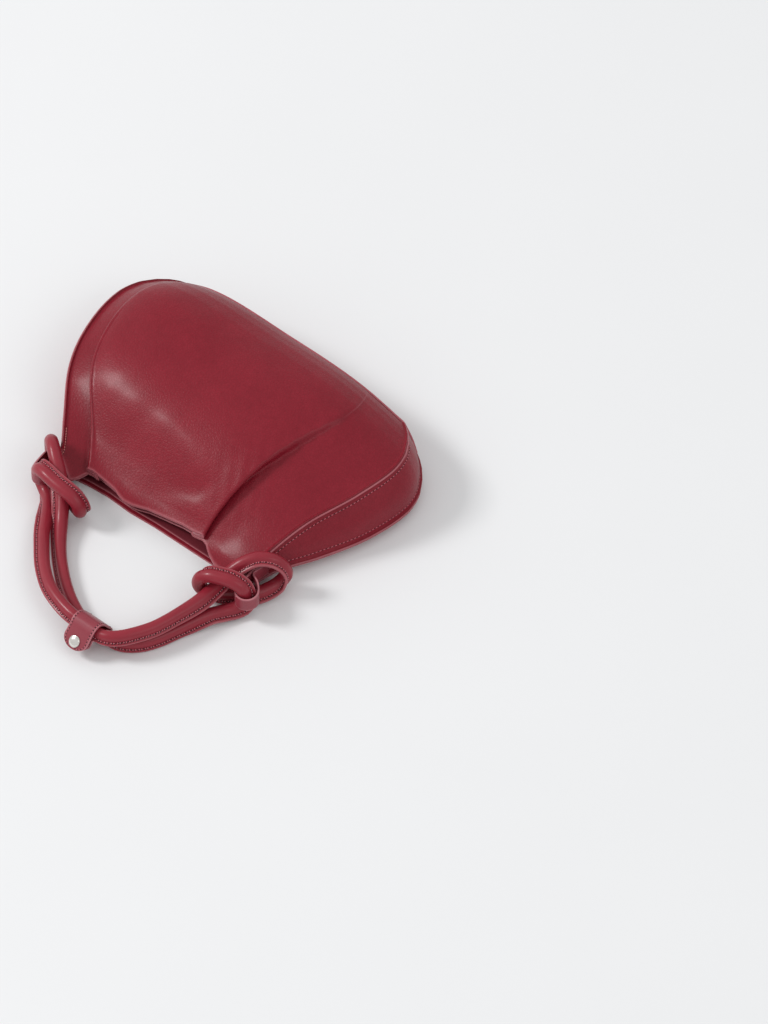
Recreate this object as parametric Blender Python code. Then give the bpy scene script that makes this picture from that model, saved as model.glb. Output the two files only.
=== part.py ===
import bpy
import math
import numpy as np

for item in list(bpy.data.objects):
    bpy.data.objects.remove(item, do_unlink=True)

# The bag lies on its back. X runs along the mouth, Y from the mouth to the base, Z up.
# All sizes below are in millimetres and are turned to metres where a mesh is made.
toMetres = 0.001
bodyShift = np.array([0.0, -90.0, 0.0])

leather = 1.5
facingThick = 1.0
liningThick = 0.8
clearance = 0.3
seamFlange = 2.6
foldRadius = 1.0
backSeamHeight = 9.0
backRound = 8.0
bodyLength = 186.0
facingDepth = 33.0

tubeRadius = 6.0
tubeSides = 10
tubeStep = 5.6
strapWidth = 13.0
strapLow = 13.4
strapLowLeft = 13.0
strapThick = 1.4
strapLoopRadius = 9.0
strapLegRight = 14.0
strapLegLeft = 7.5
keeperLength = 20.0
tongueLength = 21.0
tongueRound = 7.0
snapAt = 14.5
snapRadius = 5.0

# Body landmarks at distances from the mouth: widths, seam heights and pleat places.
stationAt = bodyLength * np.array([-0.06452, 0.0, 0.10753, 0.2957, 0.53763, 0.77957, 1.02151])
leftSeamX = np.array([-99.0, -105.0, -121.0, -147.5, -164.5, -167.0, -152.0])
leftSeamZ = np.array([16.0, 19.0, 27.0, 40.0, 46.0, 47.0, 43.0])
leftFoldX = np.array([-84.0, -88.0, -99.0, -129.0, -146.0, -146.0, -132.0])
leftFoldZ = np.array([10.0, 12.0, 22.0, 44.0, 57.0, 62.0, 54.0])
middleX = np.array([-22.0, -23.0, -26.0, -33.0, -36.0, -34.0, -26.0])
middleZ = np.array([9.0, 11.0, 22.0, 49.0, 68.0, 73.0, 64.0])
rightFoldX = np.array([35.0, 37.0, 42.5, 56.0, 68.0, 74.0, 66.0])
rightFoldZ = np.array([10.0, 12.0, 26.0, 48.0, 62.0, 67.0, 58.0])
rightSeamX = np.array([87.0, 88.0, 91.0, 99.0, 116.0, 122.0, 106.0])
rightSeamZ = np.array([17.0, 20.0, 27.0, 37.0, 46.0, 48.0, 44.0])
backLeftX = np.array([-96.5, -100.5, -111.0, -139.0, -162.0, -166.0, -150.0])
backRightX = np.array([90.5, 92.0, 96.0, 114.0, 132.0, 137.0, 121.0])
foldTurn = np.array([180.0, 178.0, 165.0, 120.0, 62.0, 26.0, 6.0])
foldReturn = np.array([9.0, 9.0, 8.0, 4.5, 2.0, 0.6, 0.2])

# Corner rounding near the base: distance from the mouth, width factor, height factor.
roundAt = bodyLength * np.array([-0.06452, 0.75269, 0.84946, 0.91398, 0.95699, 0.98387, 1.0])
roundWide = np.array([1.0, 1.0, 0.992, 0.972, 0.945, 0.915, 0.885])
roundHigh = np.array([1.0, 1.0, 0.985, 0.945, 0.885, 0.82, 0.75])
roundCentreZ = 26.0
stations = bodyLength * np.array([0.0, 0.02688, 0.05914, 0.09677, 0.13978, 0.19355, 0.25269,
                                  0.32258, 0.40323, 0.49462, 0.5914, 0.68817, 0.77419,
                                  0.84409, 0.89785, 0.93548, 0.96505, 0.98656, 1.0])

# The side panels' bulge, and each top edge's own outline past the mouth line.
bulgeAt = bodyLength * np.array([0.0, 0.1613, 0.4839, 0.8065, 1.0])
sideBulge = np.array([0.6, 2.0, 6.0, 6.0, 2.0])
mouthFade = 42.0
frontEdgeX = np.array([-110.0, -104.0, -96.0, -89.0, -86.0, -82.0, -76.0, -60.0, -52.0, -45.0, -39.0, -30.0,
                       -17.0, -3.0, 16.0, 28.0, 36.0, 41.0, 49.0, 58.0, 68.0, 78.0, 90.0])
frontEdge = np.array([-3.0, -6.0, -11.0, -15.0, -13.0, -1.0, 0.5, -0.5, -1.5, -4.0, -5.5, -4.5,
                      -0.5, 1.6, 4.0, 4.2, 5.0, 3.5, -2.0, -7.0, -9.5, -7.0, -2.0])
backEdgeX = np.array([-98.0, -80.0, -60.0, -35.0, -10.0, 60.0, 78.0, 92.0])
backEdge = np.array([-6.0, -3.0, -1.5, -2.5, -1.0, -0.5, -1.0, -2.0])
sideEdgeX = np.array([-100.0, 0.0, 90.0])
sideEdge = np.array([-6.0, 0.0, -2.0])


def curve(at, xs, ys):
    # Cubic Hermite through the points, with slopes from the chord of each point's neighbours.
    slope = np.gradient(ys, xs)
    i = np.clip(np.searchsorted(xs, at) - 1, 0, len(xs) - 2)
    h = xs[i + 1] - xs[i]
    t = (at - xs[i]) / h
    return ((2 * t**3 - 3 * t**2 + 1) * ys[i] + (t**3 - 2 * t**2 + t) * h * slope[i]
            + (3 * t**2 - 2 * t**3) * ys[i + 1] + (t**3 - t**2) * h * slope[i + 1])


def curvePoints(points, count):
    # The same curve through 2-D points, by chord length, resampled to even steps of arc length.
    points = np.asarray(points, float)
    chord = np.concatenate([[0.0], np.cumsum(np.linalg.norm(np.diff(points, axis=0), axis=1))])
    fine = np.linspace(0.0, chord[-1], 161)
    line = np.stack([curve(fine, chord, points[:, k]) for k in range(points.shape[1])], axis=1)
    along = np.concatenate([[0.0], np.cumsum(np.linalg.norm(np.diff(line, axis=0), axis=1))])
    even = np.linspace(0.0, along[-1], count)
    return np.stack([np.interp(even, along, line[:, k]) for k in range(line.shape[1])], axis=1)


def sideNormals(line):
    # 2-D normals to the left of the walking direction, lengthened at corners like a mitre.
    step = np.diff(line, axis=0)
    step = step / np.linalg.norm(step, axis=1)[:, None]
    normal = np.stack([-step[:, 1], step[:, 0]], axis=1)
    first = np.vstack([normal[:1], normal])
    second = np.vstack([normal, normal[-1:]])
    total = first + second
    return total / np.maximum(0.5 * (total**2).sum(axis=1), 0.35)[:, None]


def seamPoints(v):
    # Corner points of the cross-section at one distance from the mouth.
    left = np.array([curve(v, stationAt, leftSeamX), curve(v, stationAt, leftSeamZ)])
    right = np.array([curve(v, stationAt, rightSeamX), curve(v, stationAt, rightSeamZ)])
    lowLeft = np.array([curve(v, stationAt, backLeftX), backSeamHeight])
    lowRight = np.array([curve(v, stationAt, backRightX), backSeamHeight])
    return left, right, lowLeft, lowRight


def outward(corner):
    # Direction that a seam's turned edges stand out in: away from the middle of the section.
    side = 1.0 if corner[0] > 0.0 else -1.0
    if corner[1] <= backSeamHeight + 0.01:
        way = np.array([side, -0.15])
    else:
        way = np.array([side * 0.72, 0.7])
    return way / np.linalg.norm(way)


def rounded(line, v):
    # Draws the section in towards the base corners.
    centreX = 0.5 * (curve(v, stationAt, backLeftX) + curve(v, stationAt, backRightX))
    wide = np.interp(v, roundAt, roundWide)
    high = np.interp(v, roundAt, roundHigh)
    out = line.copy()
    out[:, 0] = centreX + (line[:, 0] - centreX) * wide
    out[:, 1] = roundCentreZ + (line[:, 1] - roundCentreZ) * high
    return out


def withFlanges(line, startCorner, endCorner, v):
    # Both ends of a panel turn out along the seam, half a layer and half a gap off its middle.
    half = 0.5 * (leather + clearance)
    flange = seamFlange * np.interp(v, [0.0, 0.8065 * bodyLength, bodyLength], [1.0, 1.0, 0.8])
    startWay = outward(startCorner)
    endWay = outward(endCorner)
    startSide = np.array([-startWay[1], startWay[0]])
    endSide = np.array([-endWay[1], endWay[0]])
    if startSide @ (line[1] - line[0]) < 0.0:
        startSide = -startSide
    if endSide @ (line[-2] - line[-1]) < 0.0:
        endSide = -endSide
    base = line.copy()
    base[0] = startCorner + startSide * half
    base[-1] = endCorner + endSide * half
    tipStart = base[0] + startWay * flange
    tipEnd = base[-1] + endWay * flange
    return np.vstack([tipStart[None], base, tipEnd[None]])


def foldPath(v):
    # One side fold of the pleat as offsets along and above the side panel: forward, up and
    # back over itself, then forward again on top, with a turn that fades towards the base.
    turn = math.radians(curve(v, stationAt, foldTurn))
    back = max(curve(v, stationAt, foldReturn), 0.05)
    bend = (np.arange(4) + 0.5) * turn / 4.0
    heading = np.concatenate([bend, [turn], bend[::-1]])
    length = np.concatenate([np.full(4, math.pi * foldRadius / 4.0), [back],
                             np.full(4, math.pi * foldRadius / 4.0)])
    along = np.concatenate([[0.0], np.cumsum(length * np.cos(heading))])
    above = np.concatenate([[0.0], np.cumsum(length * np.sin(heading))])
    return along, above


def frontBase(v, count=161):
    # The level of the side panels under the pleat, seam to seam.
    left, right = seamPoints(v)[:2]
    rows = [left, [curve(v, stationAt, leftFoldX), curve(v, stationAt, leftFoldZ)],
            [curve(v, stationAt, middleX), curve(v, stationAt, middleZ)],
            [curve(v, stationAt, rightFoldX), curve(v, stationAt, rightFoldZ)], right]
    return curvePoints(rows, count)


def frontLine(v):
    # Front panel: side part, fold, raised centre part, mirrored fold, side part.
    base = frontBase(v)
    along = np.concatenate([[0.0], np.cumsum(np.linalg.norm(np.diff(base, axis=0), axis=1))])
    steps, above = foldPath(v)
    leftAt = np.interp(curve(v, stationAt, leftFoldX), base[:, 0], along)
    rightAt = np.interp(curve(v, stationAt, rightFoldX), base[:, 0], along)
    leftStart = leftAt - 0.5 * steps[-1]
    rightStart = rightAt + 0.5 * steps[-1]
    leftU = leftStart + steps
    rightU = (rightStart - steps)[::-1]
    u = np.concatenate([np.linspace(0.0, leftU[0], 5)[:-1], leftU,
                        np.linspace(leftU[-1], rightU[0], 15)[1:-1], rightU,
                        np.linspace(rightU[-1], along[-1], 8)[1:]])
    h = np.concatenate([np.zeros(4), above, np.full(13, above[-1]), above[::-1], np.zeros(7)])
    place = np.stack([np.interp(u, along, base[:, 0]), np.interp(u, along, base[:, 1])], axis=1)
    ahead = [np.interp(u + 1.5, along, base[:, 0]), np.interp(u + 1.5, along, base[:, 1])]
    behind = [np.interp(u - 1.5, along, base[:, 0]), np.interp(u - 1.5, along, base[:, 1])]
    way = np.stack(ahead, axis=1) - np.stack(behind, axis=1)
    way = way / np.linalg.norm(way, axis=1)[:, None]
    return place + np.stack([-way[:, 1], way[:, 0]], axis=1) * h[:, None]


def gussetLine(v, side, count=6):
    # Side panel between the front seam and the back seam, bulging out a little.
    left, right, lowLeft, lowRight = seamPoints(v)
    top, low = (right, lowRight) if side > 0 else (left, lowLeft)
    bulge = np.interp(v, bulgeAt, sideBulge)
    middle = 0.5 * (top + low) + np.array([side * bulge, -0.2 * bulge])
    return curvePoints([top, middle, low], count)


def backLine(v):
    # Back panel: flat on the table, turned up to the seam at both sides.
    lowLeft, lowRight = seamPoints(v)[2:]
    level = 0.5 * leather
    turn = np.linspace(0.0, 0.5 * math.pi, 6)
    height = backSeamHeight - level
    cornerL = np.stack([lowLeft[0] + backRound * (1.0 - np.cos(turn)),
                        backSeamHeight - height * np.sin(turn)], axis=1)
    cornerR = np.stack([lowRight[0] - backRound * (1.0 - np.cos(turn)),
                        backSeamHeight - height * np.sin(turn)], axis=1)[::-1]
    flat = np.linspace(cornerL[-1, 0], cornerR[0, 0], 11)[1:-1]
    middle = np.stack([flat, np.full(len(flat), level)], axis=1)
    return np.vstack([cornerL, middle, cornerR])


def mouthShift(x, part):
    # How far each panel's top edge stands past the mouth line, along X.
    if part == "front":
        return np.interp(x, frontEdgeX, frontEdge)
    if part == "back":
        return np.interp(x, backEdgeX, backEdge)
    return np.interp(x, sideEdgeX, sideEdge)


def place3d(line, v, part):
    # Puts a section line at its distance from the mouth, with the top edge's own outline.
    fade = max(0.0, 1.0 - v / mouthFade)**2
    y = v + mouthShift(line[:, 0], part) * fade
    return np.stack([line[:, 0], y, line[:, 1]], axis=1) + bodyShift


def addMaterial(item, name, colour, rough, metal=0.0):
    material = bpy.data.materials.new(name)
    material.use_nodes = True
    shader = material.node_tree.nodes["Principled BSDF"]
    shader.inputs["Base Color"].default_value = (*colour, 1.0)
    shader.inputs["Roughness"].default_value = rough
    shader.inputs["Metallic"].default_value = metal
    item.data.materials.append(material)


def makeObject(name, verts, faces, colour, rough, metal=0.0, angle=40.0):
    mesh = bpy.data.meshes.new(name)
    mesh.from_pydata((np.asarray(verts, float) * toMetres).tolist(), [], [list(map(int, f)) for f in faces])
    mesh.update()
    mesh.polygons.foreach_set("use_smooth", np.ones(len(mesh.polygons), dtype=bool))
    mesh.set_sharp_from_angle(angle=math.radians(angle))
    item = bpy.data.objects.new(name, mesh)
    bpy.context.collection.objects.link(item)
    addMaterial(item, name + "_material", colour, rough, metal)
    return item


def slabMesh(outer, inner, loop=False, cap=False):
    # A closed sheet: an outer grid, an inner grid turned over, and the rims between them.
    # With loop the grid's rows are rings, and with cap the last ring is closed by a fan.
    rows, cols = outer.shape[:2]
    verts = np.vstack([outer.reshape(-1, 3), inner.reshape(-1, 3)])
    lift = rows * cols
    i, j = np.meshgrid(np.arange(rows - 1), np.arange(cols if loop else cols - 1), indexing="ij")
    a = (i * cols + j).ravel()
    b = (i * cols + (j + 1) % cols).ravel()
    quad = np.stack([a, b, b + cols, a + cols], axis=1)
    faces = quad.tolist() + (quad[:, ::-1] + lift).tolist()
    j = np.arange(cols if loop else cols - 1)
    k = (j + 1) % cols
    faces += np.stack([k, j, j + lift, k + lift], axis=1).tolist()
    last = (rows - 1) * cols
    if cap:
        verts = np.vstack([verts, outer[-1].mean(axis=0)[None], inner[-1].mean(axis=0)[None]])
        tip = 2 * lift
        faces += np.stack([last + j, last + k, np.full(len(j), tip)], axis=1).tolist()
        faces += np.stack([last + lift + k, last + lift + j, np.full(len(j), tip + 1)], axis=1).tolist()
    else:
        faces += np.stack([last + j, last + k, last + k + lift, last + j + lift], axis=1).tolist()
    if not loop:
        i = np.arange(rows - 1)
        a = i * cols
        faces += np.stack([a, a + cols, a + cols + lift, a + lift], axis=1).tolist()
        b = a + cols - 1
        faces += np.stack([b + cols, b, b + lift, b + cols + lift], axis=1).tolist()
    return verts, faces


def outwardFaces(verts, faces):
    # Turns every face over if the closed mesh encloses a negative volume.
    verts = np.asarray(verts, float)
    total = 0.0
    for face in faces:
        for k in range(1, len(face) - 1):
            total += np.dot(verts[face[0]], np.cross(verts[face[k]], verts[face[k + 1]]))
    return faces if total > 0.0 else [face[::-1] for face in faces]


def panelFrom(lineAt, part, stationList, thick, shiftIn=0.0):
    # Outer and inner grids of a panel, half its thickness either side of its middle line.
    outer = []
    inner = []
    for v in stationList:
        line = lineAt(v)
        normal = sideNormals(line)
        outer.append(place3d(rounded(line + normal * (0.5 * thick + shiftIn), v), v, part))
        inner.append(place3d(rounded(line + normal * (-0.5 * thick + shiftIn), v), v, part))
    return np.array(outer), np.array(inner)


wine = (0.205, 0.030, 0.042)
wineDark = (0.150, 0.022, 0.032)
wineTube = (0.215, 0.032, 0.045)
liningTone = (0.120, 0.030, 0.038)
nickel = (0.62, 0.60, 0.58)


def makePanel(name, lineAt, part, colour, thick=leather, stationList=stations):
    outer, inner = panelFrom(lineAt, part, stationList, thick)
    verts, faces = slabMesh(outer, inner)
    return makeObject(name, verts, outwardFaces(verts, faces), colour, 0.45)


def frontPanelLine(v):
    left, right = seamPoints(v)[:2]
    return withFlanges(frontLine(v), left, right, v)


def gussetPanelLine(v, side):
    left, right, lowLeft, lowRight = seamPoints(v)
    top, low = (right, lowRight) if side > 0 else (left, lowLeft)
    return withFlanges(gussetLine(v, side), top, low, v)


def backPanelLine(v):
    lowLeft, lowRight = seamPoints(v)[2:]
    return withFlanges(backLine(v), lowLeft, lowRight, v)


frontPanel = makePanel("front_panel", frontPanelLine, "front", wine)
gussetRight = makePanel("gusset_right", lambda v: gussetPanelLine(v, 1), "gusset", wine)
gussetLeft = makePanel("gusset_left", lambda v: gussetPanelLine(v, -1), "gusset", wine)
backPanel = makePanel("back_panel", backPanelLine, "back", wine)


def ringAt(v, count=44):
    # The whole section as one closed ring without seam edges: front, right side, back, left side.
    front = frontBase(v)
    rightSide = gussetLine(v, 1, 24)
    back = backLine(v)[::-1]
    leftSide = gussetLine(v, -1, 24)[::-1]
    ring = np.vstack([front, rightSide[1:], back[1:], leftSide[1:]])
    along = np.concatenate([[0.0], np.cumsum(np.linalg.norm(np.diff(ring, axis=0), axis=1))])
    frontEnd = len(front) - 1
    marks = [0.0, along[frontEnd], along[frontEnd + 23], along[frontEnd + 22 + len(back)], along[-1]]
    shares = np.array([0.34, 0.1, 0.46, 0.1]) * count
    parts = [np.linspace(marks[k], marks[k + 1], int(round(shares[k])) + 1)[:-1] for k in range(4)]
    at = np.concatenate(parts)
    return np.stack([np.interp(at, along, ring[:, 0]), np.interp(at, along, ring[:, 1])], axis=1)


def ringNormals(ring):
    # Outward 2-D normals of a closed ring that is walked clockwise.
    loop = np.vstack([ring[-1:], ring, ring[:1]])
    return sideNormals(loop)[1:-1]


# The base panel closes the far end, one clearance past the ends of the other panels.
ring = ringAt(bodyLength, 56)
ringOut = ring + ringNormals(ring) * (0.5 * leather)
endRing = rounded(ringOut, bodyLength)
endCentre = endRing.mean(axis=0)
scales = np.array([1.0, 0.93, 0.78, 0.5, 0.22])
bulge = np.array([0.0, 1.3, 2.6, 3.8, 4.4])
capRings = [endCentre + (endRing - endCentre) * s for s in scales]
baseY = bodyLength + clearance
inner = np.array([np.stack([r[:, 0], np.full(len(r), baseY + b), r[:, 1]], axis=1) + bodyShift
                  for r, b in zip(capRings, bulge)])
outer = inner + np.array([0.0, leather, 0.0])
verts, faces = slabMesh(outer, inner, loop=True, cap=True)
makeObject("base_panel", verts, outwardFaces(verts, faces), wineDark, 0.5)

# Facings line the first stretch inside the mouth, the lining the rest down to the base.
facingInset = 0.5 * leather + 3.0 * clearance + 0.5 * facingThick
facingStations = facingDepth * np.array([0.0364, 0.1515, 0.3333, 0.5455, 0.7879, 1.0])
ringCount = 44


def innerRing(v, inset, thick):
    # The closed ring drawn in, with both of its faces.
    ring = ringAt(v, ringCount)
    normal = ringNormals(ring)
    return ring + normal * (0.5 * thick - inset), ring - normal * (0.5 * thick + inset)


def cornerCut(first, second):
    # How far facings stop short of a corner between two lines that leave it, so they clear.
    a = first[3] - first[0]
    b = second[3] - second[0]
    wedge = math.acos((a @ b) / np.linalg.norm(a) / np.linalg.norm(b))
    return (facingInset + 0.5 * facingThick + clearance) / math.tan(0.5 * wedge)


def trimmed(line, startCut, endCut, count):
    # The line between two cuts, in even steps.
    along = np.concatenate([[0.0], np.cumsum(np.linalg.norm(np.diff(line, axis=0), axis=1))])
    even = np.linspace(startCut, along[-1] - endCut, count)
    return np.stack([np.interp(even, along, line[:, 0]), np.interp(even, along, line[:, 1])], axis=1)


def facing(name, part, count):
    # One facing, set in from its own panel and cut back at the corners.
    outer = []
    inner = []
    for v in facingStations:
        front = frontBase(v)
        rightSide = gussetLine(v, 1, 41)
        leftSide = gussetLine(v, -1, 41)
        cutRight = cornerCut(front[::-1], rightSide)
        cutLeft = cornerCut(front, leftSide)
        if name == "front_facing":
            line = trimmed(front, cutLeft, cutRight, count)
        elif name == "back_facing":
            line = trimmed(backLine(v)[::-1], 2.0, 2.0, count)
        elif name == "gusset_facing_right":
            line = trimmed(rightSide, cutRight, 2.4, count)
        else:
            line = trimmed(leftSide, cutLeft, 2.4, count)[::-1]
        normal = sideNormals(line)
        outer.append(place3d(rounded(line + normal * (0.5 * facingThick - facingInset), v), v, part))
        inner.append(place3d(rounded(line - normal * (0.5 * facingThick + facingInset), v), v, part))
    verts, faces = slabMesh(np.array(outer), np.array(inner))
    makeObject(name, verts, outwardFaces(verts, faces), wineDark, 0.5)


facing("front_facing", "front", 16)
facing("gusset_facing_right", "gusset", 4)
facing("back_facing", "back", 22)
facing("gusset_facing_left", "gusset", 4)

liningStations = np.concatenate([[facingDepth + 3.0 * clearance], stations[5:-2]])
liningInset = facingInset + 2.0 * clearance
rows = [innerRing(v, liningInset, liningThick) for v in liningStations]
outer = np.array([place3d(rounded(r[0], v), v, "lining") for r, v in zip(rows, liningStations)])
inner = np.array([place3d(rounded(r[1], v), v, "lining") for r, v in zip(rows, liningStations)])
# The lining's bottom: both faces carried in to the middle, with a thickness between them.
lastOut = outer[-1]
lastIn = inner[-1]
centreOut = lastOut.mean(axis=0)
extraOut = np.array([centreOut + (lastOut - centreOut) * s + np.array([0.0, d, 0.0])
                     for s, d in ((0.93, 2.4), (0.6, 4.2), (0.25, 4.9))])
extraIn = np.array([centreOut + (lastIn - centreOut) * s + np.array([0.0, d - liningThick, 0.0])
                    for s, d in ((0.93, 2.4), (0.6, 4.2), (0.25, 4.9))])
outer = np.concatenate([outer, extraOut])
inner = np.concatenate([inner, extraIn])
verts, faces = slabMesh(outer, inner, loop=True, cap=True)
makeObject("lining", verts, outwardFaces(verts, faces), liningTone, 0.7)

# The handle: one long tube, knotted at both tabs. Points are in millimetres, with X along the
# mouth, Y towards the base and Z up. The right knot runs from the top leg to the low leg.
rightKnot = np.array([
    [79.0, -47.0, 19.0], [80.0, -30.0, 20.0], [82.0, -13.0, 25.5], [88.0, -2.0, 32.5],
    [95.0, 6.0, 35.8], [103.0, 12.5, 34.3], [110.0, 17.5, 27.5], [112.5, 19.0, 18.0],
    [110.0, 15.0, 9.8], [106.2, 5.0, 6.6], [100.8, -5.6, 6.2], [90.5, -14.0, 6.2],
    [81.0, -22.0, 6.4], [72.8, -28.0, 8.8], [67.0, -31.5, 14.2], [65.5, -32.5, 21.0],
    [68.0, -32.0, 29.0], [75.0, -30.0, 34.8], [84.0, -27.0, 36.6], [93.2, -23.6, 36.0],
    [101.0, -20.4, 31.0], [103.9, -19.4, 23.0], [104.0, -19.2, 15.5], [102.7, -21.0, 9.8],
    [98.8, -26.8, 6.5], [93.5, -35.5, 6.2], [87.0, -46.0, 6.2]])
# The left knot runs from the low leg over the strap, back under it, round both legs and through
# the strap's loop to the top leg.
leftKnot = np.array([
    [-67.0, -50.5, 10.5], [-74.5, -41.0, 16.0], [-82.5, -32.8, 21.5], [-90.0, -25.5, 27.3],
    [-97.5, -18.8, 32.2], [-105.5, -12.8, 34.0], [-113.6, -9.4, 33.6], [-120.4, -7.0, 28.8],
    [-122.9, -6.4, 19.5], [-120.0, -8.0, 11.0], [-112.0, -10.0, 6.6], [-103.5, -14.0, 6.2],
    [-93.5, -18.8, 6.2], [-83.0, -23.8, 6.4], [-72.0, -28.5, 7.6], [-62.5, -32.5, 11.5],
    [-57.5, -34.8, 18.5], [-58.5, -35.0, 27.5], [-65.5, -34.2, 34.5], [-76.0, -33.0, 37.6],
    [-88.0, -32.4, 38.0], [-98.5, -32.4, 36.0], [-105.5, -31.0, 30.5], [-107.5, -29.2, 23.0],
    [-107.2, -28.4, 15.5], [-105.3, -29.6, 9.8], [-99.2, -33.2, 6.4], [-91.8, -38.5, 6.2],
    [-84.8, -47.0, 6.9]])
faceX = 92.0
knotLeft = np.array([-100.0, -7.5])
knotTurn = math.radians(15.0)


def toLeft(points):
    # Mirrors points at the right gusset and turns them to the left gusset.
    out = np.array([-math.cos(knotTurn), -math.sin(knotTurn)])
    along = np.array([-math.sin(knotTurn), math.cos(knotTurn)])
    flat = knotLeft + (points[:, :1] - faceX) * out + points[:, 1:2] * along
    return np.hstack([flat, points[:, 2:]])


topLeg = np.array([[-78.0, -57.0, 8.2], [-70.3, -68.0, 10.2], [-59.5, -80.5, 12.4], [-42.0, -98.5, 15.2],
                   [-22.5, -112.5, 16.6], [-4.0, -119.8, 17.0], [8.0, -122.6, 17.0], [18.5, -123.4, 17.0],
                   [30.0, -123.4, 17.0], [41.5, -123.4, 17.0], [48.5, -121.3, 18.2], [55.5, -115.2, 18.9],
                   [62.8, -104.0, 19.0], [69.5, -90.0, 19.0], [75.0, -69.0, 19.0]])
lowLeg = np.array([[79.0, -68.0, 6.2], [71.5, -89.0, 6.2], [64.0, -101.8, 6.2], [55.5, -109.6, 6.3],
                   [48.5, -113.2, 7.0], [41.5, -114.4, 8.0], [30.0, -114.4, 8.0], [18.5, -114.4, 8.0],
                   [10.5, -113.4, 7.7], [1.0, -109.6, 7.0], [-12.0, -102.4, 6.5], [-28.0, -91.0, 6.2],
                   [-45.0, -76.0, 6.2], [-57.5, -62.5, 7.6]])
handlePoints = np.vstack([topLeg, rightKnot, lowLeg, leftKnot])


def closedSpline(points, step):
    # Closed Catmull-Rom curve through the points, resampled to even steps.
    p0 = np.roll(points, 1, axis=0)
    p2 = np.roll(points, -1, axis=0)
    p3 = np.roll(points, -2, axis=0)
    k01 = np.linalg.norm(points - p0, axis=1)[:, None]**0.5
    k12 = np.linalg.norm(p2 - points, axis=1)[:, None]**0.5
    k23 = np.linalg.norm(p3 - p2, axis=1)[:, None]**0.5
    m1 = (p2 - points) + k12 * ((points - p0) / k01 - (p2 - p0) / (k01 + k12))
    m2 = (p2 - points) + k12 * ((p3 - p2) / k23 - (p3 - points) / (k12 + k23))
    t = np.linspace(0.0, 1.0, 24, endpoint=False)[None, :, None]
    line = ((2 * t**3 - 3 * t**2 + 1) * points[:, None] + (t**3 - 2 * t**2 + t) * m1[:, None]
            + (3 * t**2 - 2 * t**3) * p2[:, None] + (t**3 - t**2) * m2[:, None]).reshape(-1, 3)
    closed = np.vstack([line, line[:1]])
    along = np.concatenate([[0.0], np.cumsum(np.linalg.norm(np.diff(closed, axis=0), axis=1))])
    count = int(round(along[-1] / step))
    even = np.linspace(0.0, along[-1], count, endpoint=False)
    return np.stack([np.interp(even, along, closed[:, k]) for k in range(3)], axis=1)


def carriedFrames(line):
    # Frames carried along a closed line without turning about it, the last twist spread evenly.
    ahead = np.roll(line, -1, axis=0) - np.roll(line, 1, axis=0)
    ahead = ahead / np.linalg.norm(ahead, axis=1)[:, None]
    side = np.zeros_like(line)
    start = np.cross(ahead[0], [0.0, 0.0, 1.0])
    side[0] = start / np.linalg.norm(start)
    for k in range(1, len(line) + 1):
        current = ahead[k % len(line)]
        moved = side[k - 1] - current * (side[k - 1] @ current)
        moved = moved / np.linalg.norm(moved)
        if k < len(line):
            side[k] = moved
    other = np.cross(ahead[0], side[0])
    slip = math.atan2(moved @ other, moved @ side[0])
    turn = -slip * np.arange(len(line)) / len(line)
    up = np.cross(ahead, side)
    first = side * np.cos(turn)[:, None] + up * np.sin(turn)[:, None]
    return first, np.cross(ahead, first)


handleLine = closedSpline(handlePoints, tubeStep)
sideWay, upWay = carriedFrames(handleLine)
angle = np.arange(tubeSides) * 2.0 * math.pi / tubeSides
tube = (handleLine[:, None] + tubeRadius * (np.cos(angle)[None, :, None] * sideWay[:, None]
                                             + np.sin(angle)[None, :, None] * upWay[:, None])) + bodyShift
rings = len(handleLine)
i, j = np.meshgrid(np.arange(rings), np.arange(tubeSides), indexing="ij")
a = (i * tubeSides + j).ravel()
b = (i * tubeSides + (j + 1) % tubeSides).ravel()
c = (((i + 1) % rings) * tubeSides + (j + 1) % tubeSides).ravel()
d = (((i + 1) % rings) * tubeSides + j).ravel()
faces = np.stack([a, b, c, d], axis=1).tolist()
verts = tube.reshape(-1, 3)
makeObject("handle_tube", verts, outwardFaces(verts, faces), wineTube, 0.42, angle=80.0)


def gussetFaceX(y, z, side):
    # How far out the side panel and its front seam reach, at or below a height.
    shift = sideEdge[2] if side > 0 else sideEdge[0]
    v = max(0.0, y - shift * max(0.0, 1.0 - max(y, 0.0) / mouthFade)**2)
    line = gussetPanelLine(v, side)
    line = line[line[:, 1] > backSeamHeight + 2.0][::-1]
    reach = np.maximum.accumulate(line[:, 0] * side)
    return np.interp(z, line[:, 1], reach) * side


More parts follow.
